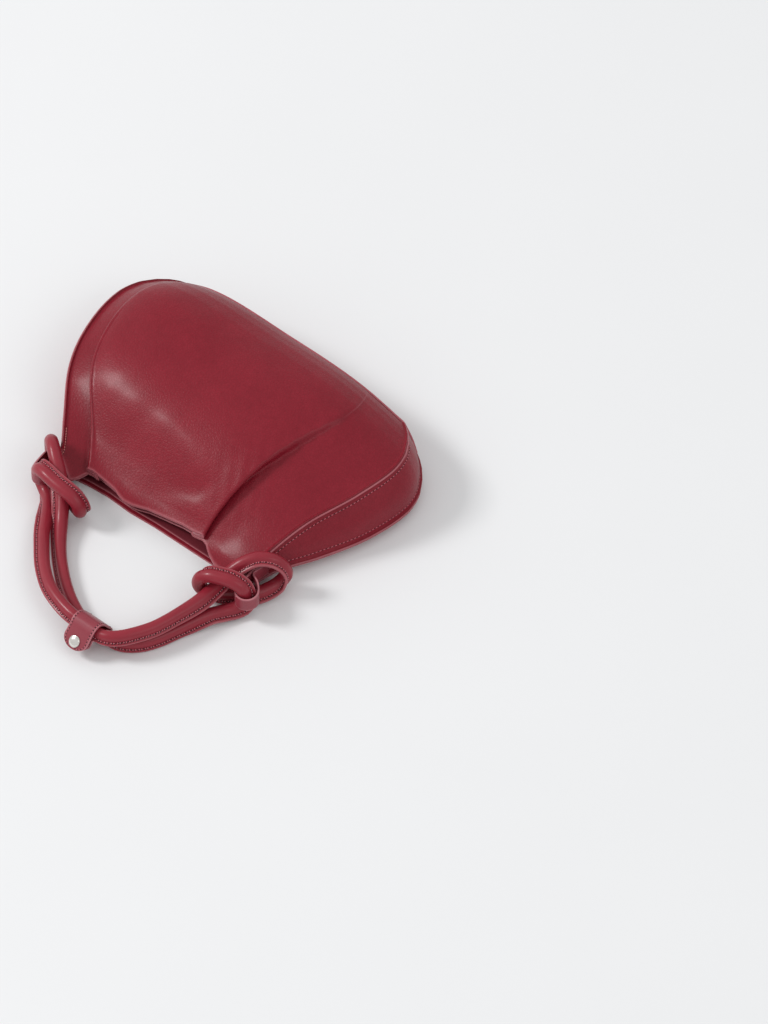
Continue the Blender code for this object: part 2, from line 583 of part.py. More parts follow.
def makeTab(name, side):
    # A strap sewn double to the gusset: out along its outside, round the tube, and back.
    loopCentre = np.array([103.9, -18.6, 0.0])
    legEnd = strapLegRight if side > 0 else strapLegLeft
    turn = np.radians(np.linspace(180.0, 360.0, 9))
    apex = loopCentre[:2] + strapLoopRadius * np.stack([np.cos(turn), np.sin(turn)], axis=1)
    low = strapLow if side > 0 else strapLowLeft
    heights = np.linspace(low, low + strapWidth, 4)
    rows = []
    normals = []
    for z in heights:
        loop = np.hstack([apex, np.full((len(apex), 1), z)])
        if side < 0:
            loop = toLeft(loop)
        ys = np.linspace(legEnd, 0.0, 5)
        shift = knotLeft[1] if side < 0 else 0.0
        slant = 1.0 if side > 0 else 1.5
        first = (0.5 * leather + clearance + 0.5 * strapThick) * slant
        second = first + (strapThick + clearance) * slant
        innerLeg = [[gussetFaceX(y + shift, z, side) + side * first, y + shift] for y in ys]
        outerLeg = [[gussetFaceX(y + shift, z, side) + side * second, y + shift] for y in ys[::-1]]
        t = np.array([[0.25], [0.5], [0.75]])
        lead = np.array(innerLeg[-1]) * (1.0 - t) + loop[0, :2] * t
        bow = loop[-1, :2] + (loop[-1, :2] - loop[-2, :2]) * 2.4
        tail = loop[-1, :2] * (1.0 - t)**2 + bow * 2.0 * t * (1.0 - t) + np.array(outerLeg[0]) * t**2
        line = np.vstack([innerLeg, lead, loop[:, :2], tail, outerLeg])
        line = curvePoints(line, 32)
        rows.append(np.hstack([line, np.full((len(line), 1), z)]))
        normals.append(np.hstack([sideNormals(line), np.zeros((len(line), 1))]))
    rows = np.array(rows)
    normals = np.array(normals)
    outer = rows + normals * 0.5 * strapThick + bodyShift
    inner = rows - normals * 0.5 * strapThick + bodyShift
    verts, faces = slabMesh(outer, inner)
    makeObject(name, verts, outwardFaces(verts, faces), wine, 0.45)


makeTab("tab_right", 1)
makeTab("tab_left", -1)

# The keeper: a band round both tubes, its two ends laid together as a tongue.
# Its section is drawn in (P, Z), where P is the distance out from the mouth line.
keeperX = 30.0
lowCentre = np.array([114.4, 8.0])
topCentre = np.array([123.4, 17.0])
bandOffset = tubeRadius + clearance + 0.5 * leather
tongueWay = np.array([0.70, -0.714])
tongueWay = tongueWay / np.linalg.norm(tongueWay)
tongueUp = np.array([-tongueWay[1], tongueWay[0]])
layerStep = 4.4


def arc(centre, start, end, count):
    angles = np.radians(np.linspace(start, end, count))
    return centre + bandOffset * np.stack([np.cos(angles), np.sin(angles)], axis=1)


leave = topCentre + bandOffset * tongueUp
topLayer = np.array([leave + tongueWay * s for s in (5.0, 10.0, snapAt, 18.0, tongueLength)])
lowTurn = leave - tongueUp * layerStep + tongueWay * 8.4
lowLayer = np.array([leave - tongueUp * layerStep + tongueWay * s
                     for s in (tongueLength - 0.8, 18.0, snapAt, 11.0)])
upAngle = math.degrees(math.atan2(tongueUp[1], tongueUp[0]))
join = math.degrees(math.atan2(-0.7071, 0.7071))
bandLine = np.vstack([lowLayer, lowTurn[None], lowCentre + (topCentre - lowCentre) * 0.72
                      + bandOffset * np.array([0.7071, -0.7071])[None],
                      arc(lowCentre, join, -225.0, 10), arc(topCentre, 135.0, upAngle, 5), topLayer])
chord = np.concatenate([[0.0], np.cumsum(np.linalg.norm(np.diff(bandLine, axis=0), axis=1))])
bandAlong = np.linspace(0.0, chord[-1], 40)
bandLine = np.stack([curve(bandAlong, chord, bandLine[:, k]) for k in range(2)], axis=1)
bandNormal = sideNormals(bandLine)
endDistance = np.minimum(bandAlong, chord[-1] - bandAlong)
fromRound = 1.0 - np.clip(endDistance / tongueRound, 0.0, 1.0)
halfWide = 0.5 * keeperLength * np.sqrt(np.clip(1.0 - 0.72 * fromRound**2, 0.0, 1.0))
columns = np.linspace(-1.0, 1.0, 4)
bandOut = bandLine + bandNormal * 0.5 * leather
bandIn = bandLine - bandNormal * 0.5 * leather
outer = np.array([np.stack([keeperX + c * halfWide, -bandOut[:, 0], bandOut[:, 1]], axis=1) + bodyShift
                  for c in columns])
inner = np.array([np.stack([keeperX + c * halfWide, -bandIn[:, 0], bandIn[:, 1]], axis=1) + bodyShift
                  for c in columns])
verts, faces = slabMesh(outer, inner)
keeper = makeObject("handle_keeper", verts, outwardFaces(verts, faces), wine, 0.45)

snapTop = leave + tongueWay * snapAt
snapAxis = np.array([0.0, -tongueUp[0], tongueUp[1]])
snapOrigin = np.array([keeperX, -snapTop[0], snapTop[1]]) + bodyShift
snapSide = np.array([1.0, 0.0, 0.0])
snapOther = np.cross(snapAxis, snapSide)


def turned(profile, sides):
    # A solid of revolution about the snap's axis from (radius, height) rows; both ends at radius 0.
    profile = np.asarray(profile, float)
    ring = np.arange(sides) * 2.0 * math.pi / sides
    body = profile[1:-1]
    verts = (snapOrigin + body[:, None, 0:1] * (np.cos(ring)[None, :, None] * snapSide
                                                + np.sin(ring)[None, :, None] * snapOther)
             + body[:, None, 1:2] * snapAxis).reshape(-1, 3)
    ends = [snapOrigin + profile[0, 1] * snapAxis, snapOrigin + profile[-1, 1] * snapAxis]
    verts = np.vstack([verts, ends])
    count = len(body)
    i, j = np.meshgrid(np.arange(count - 1), np.arange(sides), indexing="ij")
    a = (i * sides + j).ravel()
    b = (i * sides + (j + 1) % sides).ravel()
    faces = np.stack([a, b, b + sides, a + sides], axis=1).tolist()
    first = count * sides
    j = np.arange(sides)
    k = (j + 1) % sides
    faces += np.stack([k, j, np.full(sides, first)], axis=1).tolist()
    last = (count - 1) * sides
    faces += np.stack([last + j, last + k, np.full(sides, first + 1)], axis=1).tolist()
    return verts, outwardFaces(verts, faces)


def snapPiece(name, profile, sides=20):
    verts, faces = turned(profile, sides)
    return makeObject(name, verts, faces, nickel, 0.28, 1.0, angle=35.0)


half = 0.5 * leather
shank = 1.2
hole = shank + clearance
capLow = half + 0.1
snapPiece("snap_cap", [(0.0, -half - 0.9), (shank, -half - 0.9), (shank, capLow), (snapRadius - 0.5, capLow),
                       (snapRadius, capLow + 0.35), (snapRadius - 0.25, capLow + 0.9),
                       (3.9, capLow + 1.45), (2.5, capLow + 1.85), (1.1, capLow + 2.05),
                       (0.0, capLow + 2.1)])
studLow = -layerStep - half
studHigh = -layerStep + half
# The socket is a ring under the top layer: its inside is open for the stud's head.
socketTop = -half - 0.1
socketLow = -layerStep + half + 0.35


def ringPiece(name, profile, sides=20):
    # A closed ring about the snap's axis from a closed (radius, height) outline.
    profile = np.asarray(profile, float)
    ring = np.arange(sides) * 2.0 * math.pi / sides
    verts = (snapOrigin + profile[:, None, 0:1] * (np.cos(ring)[None, :, None] * snapSide
                                                   + np.sin(ring)[None, :, None] * snapOther)
             + profile[:, None, 1:2] * snapAxis).reshape(-1, 3)
    count = len(profile)
    i, j = np.meshgrid(np.arange(count), np.arange(sides), indexing="ij")
    a = (i * sides + j).ravel()
    b = (i * sides + (j + 1) % sides).ravel()
    c = (((i + 1) % count) * sides + (j + 1) % sides).ravel()
    d = (((i + 1) % count) * sides + j).ravel()
    faces = np.stack([a, b, c, d], axis=1).tolist()
    return makeObject(name, verts, outwardFaces(verts, faces), nickel, 0.3, 1.0, angle=35.0)


ringPiece("snap_socket", [(hole, socketTop), (4.3, socketTop), (4.5, socketTop - 0.3), (4.3, socketLow),
                          (2.3, socketLow), (2.3, socketTop - 0.55), (hole, socketTop - 0.55)])
snapPiece("snap_stud", [(0.0, studLow - 0.9), (shank, studLow - 0.9), (shank, studHigh + 0.1),
                        (3.6, studHigh + 0.1), (3.6, studHigh + 0.28), (1.7, studHigh + 0.3),
                        (1.9, studHigh + 0.75), (1.4, studHigh + 1.05), (0.0, studHigh + 1.1)])
ringPiece("snap_post", [(hole, studLow - 0.1), (hole, studLow - 0.7), (3.6, studLow - 0.7),
                        (4.2, studLow - 0.45), (4.2, studLow - 0.1)])

# One hole through both layers of the tongue for the snap's shanks.
ring = np.arange(12) * 2.0 * math.pi / 12
cutVerts = []
for height in (-layerStep - 3.0, 3.0):
    for t in ring:
        around = math.cos(t) * snapSide + math.sin(t) * snapOther
        cutVerts.append(snapOrigin + hole * around + height * snapAxis)
cutFaces = [[k, (k + 1) % 12, 12 + (k + 1) % 12, 12 + k] for k in range(12)]
cutFaces += [list(range(12))[::-1], list(range(12, 24))]
cutter = makeObject("tongue_hole_cutter", cutVerts, outwardFaces(cutVerts, cutFaces), nickel, 0.5)
cutter.hide_render = True
cutter.display_type = "WIRE"
bore = keeper.modifiers.new("shank_hole", "BOOLEAN")
bore.operation = "DIFFERENCE"
bore.solver = "EXACT"
bore.object = cutter
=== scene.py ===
import math
import bpy
import numpy as np
from mathutils import Matrix, Vector


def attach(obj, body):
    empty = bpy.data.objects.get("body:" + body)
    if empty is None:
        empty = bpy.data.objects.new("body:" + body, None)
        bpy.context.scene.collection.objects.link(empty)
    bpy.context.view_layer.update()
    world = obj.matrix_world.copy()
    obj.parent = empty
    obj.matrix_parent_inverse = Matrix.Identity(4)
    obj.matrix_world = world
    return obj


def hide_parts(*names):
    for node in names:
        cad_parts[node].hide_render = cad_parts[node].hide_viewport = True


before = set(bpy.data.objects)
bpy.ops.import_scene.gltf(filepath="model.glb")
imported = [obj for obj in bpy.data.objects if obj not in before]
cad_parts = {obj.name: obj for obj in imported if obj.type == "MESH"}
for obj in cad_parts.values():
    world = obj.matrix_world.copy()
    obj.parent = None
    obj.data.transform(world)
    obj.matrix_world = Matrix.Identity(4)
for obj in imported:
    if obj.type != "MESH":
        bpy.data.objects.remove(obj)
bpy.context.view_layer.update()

mm = 0.001
rng = np.random.default_rng(7)

shift = np.array([0.0, -90.0, 0.0])  # from the middle of the mouth to the origin of the solids

# The body in millimetres: X along the mouth, Y towards the base, Z up.
body = {
    "leather": 1.5,
    "clearance": 0.3,  # between neighbouring pieces
    "length": 186.0,
    "backSeamHeight": 9.0,
    "seamTrim": 2.4,  # from a seam to where its flange turns out
    "flange": 2.6,
    "foldRadius": 1.35,
    "mouthFade": 42.0,  # how far down the body the mouth's uneven edge is felt
}

stationAt = np.array([-12.0, 0.0, 20.0, 55.0, 100.0, 145.0, 190.0])
landmarks = {
    "leftSeamX": [-103.0, -108.5, -123.0, -148.0, -164.5, -167.0, -152.0],
    "leftSeamZ": [16.0, 19.0, 27.0, 40.0, 46.0, 47.0, 43.0],
    "leftFoldX": [-70.0, -76.5, -91.5, -124.0, -144.0, -146.0, -132.0],
    "leftFoldZ": [10.0, 12.0, 22.0, 44.0, 57.0, 62.0, 54.0],
    "middleX": [-22.0, -23.0, -26.0, -33.0, -36.0, -34.0, -26.0],
    "middleZ": [9.0, 11.0, 22.0, 49.0, 68.0, 73.0, 64.0],
    "rightFoldX": [30.5, 31.5, 33.0, 42.0, 56.0, 69.0, 64.0],
    "rightFoldZ": [10.0, 12.0, 26.0, 48.0, 62.0, 67.0, 58.0],
    "rightSeamX": [87.0, 88.0, 91.0, 99.0, 116.0, 122.0, 106.0],
    "rightSeamZ": [17.0, 20.0, 27.0, 37.0, 46.0, 48.0, 44.0],
    "backLeftX": [-98.5, -102.0, -112.0, -139.0, -162.0, -166.0, -150.0],
    "backRightX": [90.5, 92.0, 96.0, 114.0, 132.0, 137.0, 121.0],
    "foldTurn": [180.0, 178.0, 165.0, 120.0, 62.0, 26.0, 6.0],
    "foldReturn": [9.0, 9.0, 8.0, 4.5, 2.0, 0.6, 0.2],
}
roundAt = np.array([-12.0, 140.0, 158.0, 170.0, 178.0, 183.0, 186.0])
roundWide = np.array([1.0, 1.0, 0.992, 0.972, 0.945, 0.915, 0.885])
roundHigh = np.array([1.0, 1.0, 0.985, 0.945, 0.885, 0.82, 0.75])


def curve(at, xs, ys):
    # Cubic Hermite through the points, with slopes from the chord of each point's neighbours.
    xs = np.asarray(xs, float)
    ys = np.asarray(ys, float)
    slope = np.gradient(ys, xs)
    i = np.clip(np.searchsorted(xs, at) - 1, 0, len(xs) - 2)
    h = xs[i + 1] - xs[i]
    t = (at - xs[i]) / h
    return ((2 * t**3 - 3 * t**2 + 1) * ys[i] + (t**3 - 2 * t**2 + t) * h * slope[i]
            + (3 * t**2 - 2 * t**3) * ys[i + 1] + (t**3 - t**2) * h * slope[i + 1])


def mark(name, v):
    return curve(v, stationAt, landmarks[name])


def lengths(line):
    # Distance along a line at each of its points.
    return np.concatenate([[0.0], np.cumsum(np.linalg.norm(np.diff(line, axis=0), axis=1))])


def readAt(at, along, table):
    # The columns of a table read at distances along it.
    return np.stack([np.interp(at, along, table[:, k]) for k in range(table.shape[1])], axis=1)


def resample(line, at):
    return readAt(at, lengths(line), line)


def unit(vectors):
    return vectors / np.linalg.norm(vectors, axis=-1, keepdims=True)


def squareTo(ways, vectors):
    # The vectors' parts square to the ways, at unit length.
    return unit(vectors - ways * (vectors * ways).sum(axis=-1, keepdims=True))


def curvePoints(points, count):
    # The Hermite curve through 2-D points by chord length, in even steps of arc length.
    points = np.asarray(points, float)
    chord = lengths(points)
    fine = np.linspace(0.0, chord[-1], 401)
    line = np.stack([curve(fine, chord, points[:, k]) for k in range(points.shape[1])], axis=1)
    return resample(line, np.linspace(0.0, lengths(line)[-1], count))


def sideNormals(line):
    # 2-D normals to the left of the walking direction, lengthened at corners like a mitre.
    step = np.diff(line, axis=0)
    step = step / np.maximum(np.linalg.norm(step, axis=1), 1e-9)[:, None]
    normal = np.stack([-step[:, 1], step[:, 0]], axis=1)
    total = np.vstack([normal[:1], normal]) + np.vstack([normal, normal[-1:]])
    return total / np.maximum(0.5 * (total**2).sum(axis=1), 0.5)[:, None]


def seamPoints(v):
    left = np.array([mark("leftSeamX", v), mark("leftSeamZ", v)])
    right = np.array([mark("rightSeamX", v), mark("rightSeamZ", v)])
    lowLeft = np.array([mark("backLeftX", v), body["backSeamHeight"]])
    lowRight = np.array([mark("backRightX", v), body["backSeamHeight"]])
    return left, right, lowLeft, lowRight


def outward(corner):
    side = 1.0 if corner[0] > 0.0 else -1.0
    way = np.array([side, -0.15]) if corner[1] <= body["backSeamHeight"] + 0.01 else np.array([side * 0.72, 0.7])
    return unit(way)


def rounded(line, v):
    # Draws the section in towards the base corners, along smooth versions of the factors.
    centreX = 0.5 * (mark("backLeftX", v) + mark("backRightX", v))
    out = line.copy()
    out[..., 0] = centreX + (line[..., 0] - centreX) * np.interp(v, roundAt, roundWide)
    out[..., 1] = 26.0 + (line[..., 1] - 26.0) * np.interp(v, roundAt, roundHigh)
    return out


def withFlanges(line, startCorner, endCorner, v, steps=4):
    # Both ends of a trimmed panel line turn out along the seam, through a small rounded corner.
    half = 0.5 * (body["leather"] + body["clearance"])
    flange = body["flange"] * np.interp(v, [0.0, 150.0, 186.0], [1.0, 1.0, 0.8])
    ends = []
    for corner, near in ((startCorner, line[0]), (endCorner, line[-1])):
        way = outward(corner)
        side = np.array([-way[1], way[0]])
        if side @ (near - corner) < 0.0:
            side = -side
        base = corner + side * half
        inside = base + (near - base) * 0.6
        t = np.linspace(0.0, 1.0, steps + 1)[:, None]
        bend = (base + way * 0.9) * (1 - t)**2 + base * 2 * t * (1 - t) + inside * t**2
        ends.append(np.vstack([(base + way * flange)[None], (base + way * (0.45 + 0.5 * flange))[None], bend]))
    return np.vstack([ends[0], line, ends[1][::-1]])


def trimmed(line, count):
    # The line without the stretch beside each seam, in even steps.
    return resample(line, np.linspace(body["seamTrim"], lengths(line)[-1] - body["seamTrim"], count))


def foldPath(v, n=10):
    # One side fold of the pleat: forward, up and back over itself, then forward again on top.
    turn = math.radians(np.clip(mark("foldTurn", v), 0.0, 180.0))
    back = max(mark("foldReturn", v), 0.05)
    bend = (np.arange(n) + 0.5) * turn / n
    straight = 3
    heading = np.concatenate([bend, np.full(straight, turn), bend[::-1]])
    length = np.concatenate([np.full(n, body["foldRadius"] * math.pi / n), np.full(straight, back / straight),
                             np.full(n, body["foldRadius"] * math.pi / n)])
    along = np.concatenate([[0.0], np.cumsum(length * np.cos(heading))])
    above = np.concatenate([[0.0], np.cumsum(length * np.sin(heading))])
    return along, above


def frontBase(v, count=401):
    left, right = seamPoints(v)[:2]
    rows = [left, [mark("leftFoldX", v), mark("leftFoldZ", v)], [mark("middleX", v), mark("middleZ", v)],
            [mark("rightFoldX", v), mark("rightFoldZ", v)], right]
    return curvePoints(rows, count)


def frontLine(v, sideCount=16, middleCount=110, rightCount=36):
    # Front panel: side part, fold, raised centre part, mirrored fold, side part.
    base = frontBase(v)
    along = lengths(base)
    steps, above = foldPath(v)
    leftAt = np.interp(mark("leftFoldX", v), base[:, 0], along)
    rightAt = np.interp(mark("rightFoldX", v), base[:, 0], along)
    leftU = leftAt - 0.5 * steps[-1] + steps
    rightU = (rightAt + 0.5 * steps[-1] - steps)[::-1]
    u = np.concatenate([np.linspace(body["seamTrim"], leftU[0], sideCount + 1)[:-1], leftU,
                        np.linspace(leftU[-1], rightU[0], middleCount + 2)[1:-1], rightU,
                        np.linspace(rightU[-1], along[-1] - body["seamTrim"], rightCount + 1)[1:]])
    h = np.concatenate([np.zeros(sideCount), above, np.full(middleCount, above[-1]), above[::-1],
                        np.zeros(rightCount)])
    # Each point is lifted by h to the left of the way along the base line.
    way = unit(readAt(u + 1.5, along, base) - readAt(u - 1.5, along, base))
    return readAt(u, along, base) + np.stack([-way[:, 1], way[:, 0]], axis=1) * h[:, None]


def gussetLine(v, side, count=26):
    left, right, lowLeft, lowRight = seamPoints(v)
    top, low = (right, lowRight) if side > 0 else (left, lowLeft)
    bulge = np.interp(v, [0.0, 30.0, 90.0, 150.0, 186.0], [0.6, 2.0, 6.0, 6.0, 2.0])
    return curvePoints([top, 0.5 * (top + low) + np.array([side * bulge, -0.2 * bulge]), low], count)


def backLine(v, flatCount=90):
    lowLeft, lowRight = seamPoints(v)[2:]
    turn = np.linspace(0.0, 0.5 * math.pi, 12)
    fall = body["backSeamHeight"] - (body["backSeamHeight"] - 0.5 * body["leather"]) * np.sin(turn)
    cornerL = np.stack([lowLeft[0] + 8.0 * (1.0 - np.cos(turn)), fall], axis=1)
    cornerR = np.stack([lowRight[0] - 8.0 * (1.0 - np.cos(turn)), fall], axis=1)[::-1]
    flat = np.linspace(cornerL[-1, 0], cornerR[0, 0], flatCount)[1:-1]
    return np.vstack([cornerL, np.stack([flat, np.full(len(flat), 0.5 * body["leather"])], axis=1), cornerR])


frontEdge = np.array([
    [-110.0, -3.0], [-104.0, -6.0], [-96.0, -11.0], [-89.0, -15.0], [-86.0, -13.0], [-82.0, -1.0], [-76.0, 0.5],
    [-60.0, -0.5], [-52.0, -1.5], [-45.0, -4.0], [-39.0, -5.5], [-30.0, -4.5], [-17.0, -0.5], [-3.0, 1.6],
    [16.0, 4.0], [28.0, 4.2], [36.0, 5.0], [41.0, 3.5], [49.0, -2.0], [58.0, -7.0], [68.0, -9.5],
    [78.0, -7.0], [90.0, -2.0]]).T
backEdge = np.array([[-98.0, -6.0], [-80.0, -3.0], [-60.0, -1.5], [-35.0, -2.5], [-10.0, -1.0], [60.0, -0.5],
                     [78.0, -1.0], [92.0, -2.0]]).T


def mouthShift(x, part):
    # How far each panel's top edge stands past the mouth line, along X.
    if part == "front":
        return np.interp(x, *frontEdge)
    if part == "back":
        return np.interp(x, *backEdge)
    return np.interp(x, [-100, 0, 90], [-6.0, 0.0, -2.0])


def sectionGrid(lineAt, part, stations):
    # Sections along the body as a grid of points. Each column's top end reaches past the mouth by
    # its own amount, which fades with the square of the way down, and takes its height from there.
    base = np.concatenate([np.linspace(-16.0, stations[0], 7)[:-1], stations])
    rows = np.array([rounded(lineAt(v), v) for v in base])
    reach = mouthShift(rows[6, :, 0], part)
    fade = np.maximum(0.0, 1.0 - stations / body["mouthFade"])**2
    place = stations[:, None] + reach[None, :] * fade[:, None]
    j = np.broadcast_to(np.arange(rows.shape[1]), place.shape)
    flat = []
    for axis, at in ((0, np.maximum(place, 0.0)), (1, place)):
        i = np.clip(np.searchsorted(base, at) - 1, 0, len(base) - 2)
        t = (at - base[i]) / (base[i + 1] - base[i])
        flat.append(rows[i, j, axis] * (1.0 - t) + rows[i + 1, j, axis] * t)
    return np.stack([flat[0], place, flat[1]], axis=2) + shift


def smoothStep(x, low, high):
    t = np.clip((x - low) / (high - low), 0.0, 1.0)
    return t * t * (3.0 - 2.0 * t)


def gridNormals(grid):
    # Unit normals of a grid of points from the differences of its neighbours.
    normal = np.cross(np.gradient(grid, axis=1), np.gradient(grid, axis=0))
    return normal / np.maximum(np.linalg.norm(normal, axis=2), 1e-12)[..., None]


waveSeeds = rng.uniform(0.0, 2.0 * math.pi, (8, 3))


def softWaves(points, size, seed):
    # Smooth pseudo-noise between about -1 and 1: a sum of sine waves in turned directions.
    total = np.zeros(points.shape[:-1])
    for k in range(5):
        angle = waveSeeds[(seed + k) % 8, 0] + 1.3 * k
        way = np.array([math.cos(angle), math.sin(angle), 0.35 * math.cos(2.0 * angle)])
        total += np.sin((points @ way) * 2.0 * math.pi / (size * (0.7 + 0.17 * k)) + waveSeeds[(seed + 2 * k) % 8, 1])
    return total / 5.0 * 1.6


# Node helpers, and the materials.
def newGroup(name, sockets):
    group = bpy.data.node_groups.new(name, "ShaderNodeTree")
    for label, way, kind, value in sockets:
        socket = group.interface.new_socket(name=label, in_out=way, socket_type=kind)
        if way == "INPUT" and value is not None:
            socket.default_value = value
    return group, group.nodes.new("NodeGroupInput"), group.nodes.new("NodeGroupOutput")


def addNode(tree, kind, **settings):
    node = tree.nodes.new(kind)
    inputs = settings.pop("inputs", {})
    for key, value in settings.items():
        setattr(node, key, value)
    for key, value in inputs.items():
        node.inputs[key].default_value = value
    return node


def setSocket(tree, socket, value):
    # Links an output to the socket, or sets a constant on it.
    if isinstance(value, bpy.types.NodeSocket):
        tree.links.new(value, socket)
    else:
        socket.default_value = value


def mathNode(tree, operation, a, b, clamp=False):
    node = addNode(tree, "ShaderNodeMath", operation=operation, use_clamp=clamp)
    setSocket(tree, node.inputs[0], a)
    setSocket(tree, node.inputs[1], b)
    return node.outputs[0]


def mixColour(tree, factor, a, b):
    # Mixes two colours, each an output or three numbers.
    node = addNode(tree, "ShaderNodeMix", data_type="RGBA")
    for index, value in ((0, factor), (6, a), (7, b)):
        setSocket(tree, node.inputs[index], (*value, 1.0) if isinstance(value, tuple) else value)
    return node.outputs[2]


def objectTexture(tree, kind, inputs, **settings):
    # A texture that reads the object's own coordinates.
    node = addNode(tree, kind, inputs=inputs, **settings)
    coords = tree.nodes.get("Texture Coordinate") or tree.nodes.new("ShaderNodeTexCoord")
    tree.links.new(coords.outputs["Object"], node.inputs["Vector"])
    return node


def bumpNormal(tree, height, distance, strength):
    bump = addNode(tree, "ShaderNodeBump", inputs={"Distance": distance})
    setSocket(tree, bump.inputs["Strength"], strength)
    setSocket(tree, bump.inputs["Height"], height)
    return bump.outputs["Normal"]


def newMaterial(name, values):
    # A material with constants on its shader's sockets: the material, its tree and its shader.
    material = bpy.data.materials.new(name)
    material.use_nodes = True
    shader = material.node_tree.nodes["Principled BSDF"]
    for key, value in values.items():
        shader.inputs[key].default_value = value
    return material, material.node_tree, shader


def leatherGroup():
    # Pebbled grain: fine cells with creases between them, a softer large undulation, pores and tone, with a tone that
    # is low in the creases to paint shade into them.
    group, start, end = newGroup("leatherGrain", [
        ("Cell Size", "INPUT", "NodeSocketFloat", 1400.0),
        ("Depth", "INPUT", "NodeSocketFloat", 0.25),
        ("CreaseShadeTone", "OUTPUT", "NodeSocketFloat", None),
        ("Blotch", "OUTPUT", "NodeSocketFloat", None),
        ("Normal", "OUTPUT", "NodeSocketVector", None)])
    warp = objectTexture(group, "ShaderNodeTexNoise", {"Scale": 420.0, "Detail": 2.0})
    coords = group.nodes["Texture Coordinate"]
    shiftBy = addNode(group, "ShaderNodeVectorMath", operation="MULTIPLY_ADD")
    group.links.new(warp.outputs["Color"], shiftBy.inputs[0])
    shiftBy.inputs[1].default_value = (0.0011, 0.0011, 0.0011)
    group.links.new(coords.outputs["Object"], shiftBy.inputs[2])
    cells = addNode(group, "ShaderNodeTexVoronoi", feature="SMOOTH_F1", inputs={"Smoothness": 0.35})
    group.links.new(shiftBy.outputs[0], cells.inputs["Vector"])
    group.links.new(start.outputs["Cell Size"], cells.inputs["Scale"])
    creases = addNode(group, "ShaderNodeTexVoronoi", feature="DISTANCE_TO_EDGE")
    group.links.new(shiftBy.outputs[0], creases.inputs["Vector"])
    group.links.new(mathNode(group, "MULTIPLY", start.outputs["Cell Size"], 0.72), creases.inputs["Scale"])
    fine = objectTexture(group, "ShaderNodeTexNoise", {"Scale": 3600.0, "Detail": 3.0, "Roughness": 0.6})
    broad = objectTexture(group, "ShaderNodeTexNoise", {"Scale": 28.0, "Detail": 4.0, "Roughness": 0.55})
    middle = objectTexture(group, "ShaderNodeTexNoise", {"Scale": 170.0, "Detail": 3.0, "Roughness": 0.5})
    dome = mathNode(group, "SUBTRACT", 1.0, mathNode(group, "MULTIPLY", cells.outputs["Distance"], 1.15), clamp=True)
    groove = mathNode(group, "MULTIPLY", creases.outputs["Distance"], 5.0, clamp=True)

    def weighted(parts):
        # The sum of outputs, each times its own weight.
        total = mathNode(group, "MULTIPLY", *parts[0])
        for part in parts[1:]:
            total = mathNode(group, "ADD", total, mathNode(group, "MULTIPLY", *part))
        return total

    height = weighted([(dome, 0.65), (groove, 0.45), (fine.outputs["Fac"], 0.22), (middle.outputs["Fac"], 0.8)])
    # Low in the grain's creases: used to paint shade into them.
    creaseShadeTone = weighted([(groove, 0.6), (dome, 0.4)])
    blotch = weighted([(broad.outputs["Fac"], 0.65), (middle.outputs["Fac"], 0.35)])
    normal = bumpNormal(group, height, 0.00012, start.outputs["Depth"])
    for name, value in (("CreaseShadeTone", creaseShadeTone), ("Blotch", blotch), ("Normal", normal)):
        group.links.new(value, end.inputs[name])
    return group


grainGroup = leatherGroup()


def leatherMaterial(name, deep, main, light, rough, depth, cellSize, gloss, coat):
    # Painted shade in the grain's creases, blotches of tone, and lighter edges from a vertex attribute: partly wear,
    # partly a painted highlight along edges and bends.
    material, tree, shader = newMaterial(name, {
        "Specular IOR Level": gloss, "Coat Weight": coat, "Coat Roughness": 0.2})
    grain = addNode(tree, "ShaderNodeGroup", node_tree=grainGroup)
    grain.inputs["Cell Size"].default_value = cellSize
    grain.inputs["Depth"].default_value = depth
    blotch = grain.outputs["Blotch"]
    creaseShadeMask = mathNode(tree, "SUBTRACT", 1.0, grain.outputs["CreaseShadeTone"], clamp=True)
    colour = mixColour(tree, blotch, deep, main)
    # Painted shade: the grain's creases are mixed towards the deep colour.
    colour = mixColour(tree, mathNode(tree, "MULTIPLY", creaseShadeMask, 0.55), colour, deep)
    # Lighter edges: partly worn leather, partly a painted highlight on edges and bends.
    wearAndHighlight = addNode(tree, "ShaderNodeAttribute", attribute_name="wearAndHighlight")
    patchy = mathNode(tree, "ADD", mathNode(tree, "MULTIPLY", blotch, 0.9), 0.25)
    wornAndHighlight = mathNode(tree, "MULTIPLY", wearAndHighlight.outputs["Fac"], patchy, clamp=True)
    tree.links.new(mixColour(tree, wornAndHighlight, colour, light), shader.inputs["Base Color"])
    roughness = mathNode(tree, "ADD", mathNode(tree, "MULTIPLY", blotch, 0.14), rough - 0.07)
    roughness = mathNode(tree, "ADD", roughness, mathNode(tree, "MULTIPLY", creaseShadeMask, 0.12), clamp=True)
    tree.links.new(roughness, shader.inputs["Roughness"])
    tree.links.new(grain.outputs["Normal"], shader.inputs["Normal"])
    return material


# Leathers: deep colour of the blotches and of the painted shade in the creases, main colour, colour of the lighter
# edges (worn and painted highlight); depth is the grain's strength.
wineLight = (0.470, 0.150, 0.175)
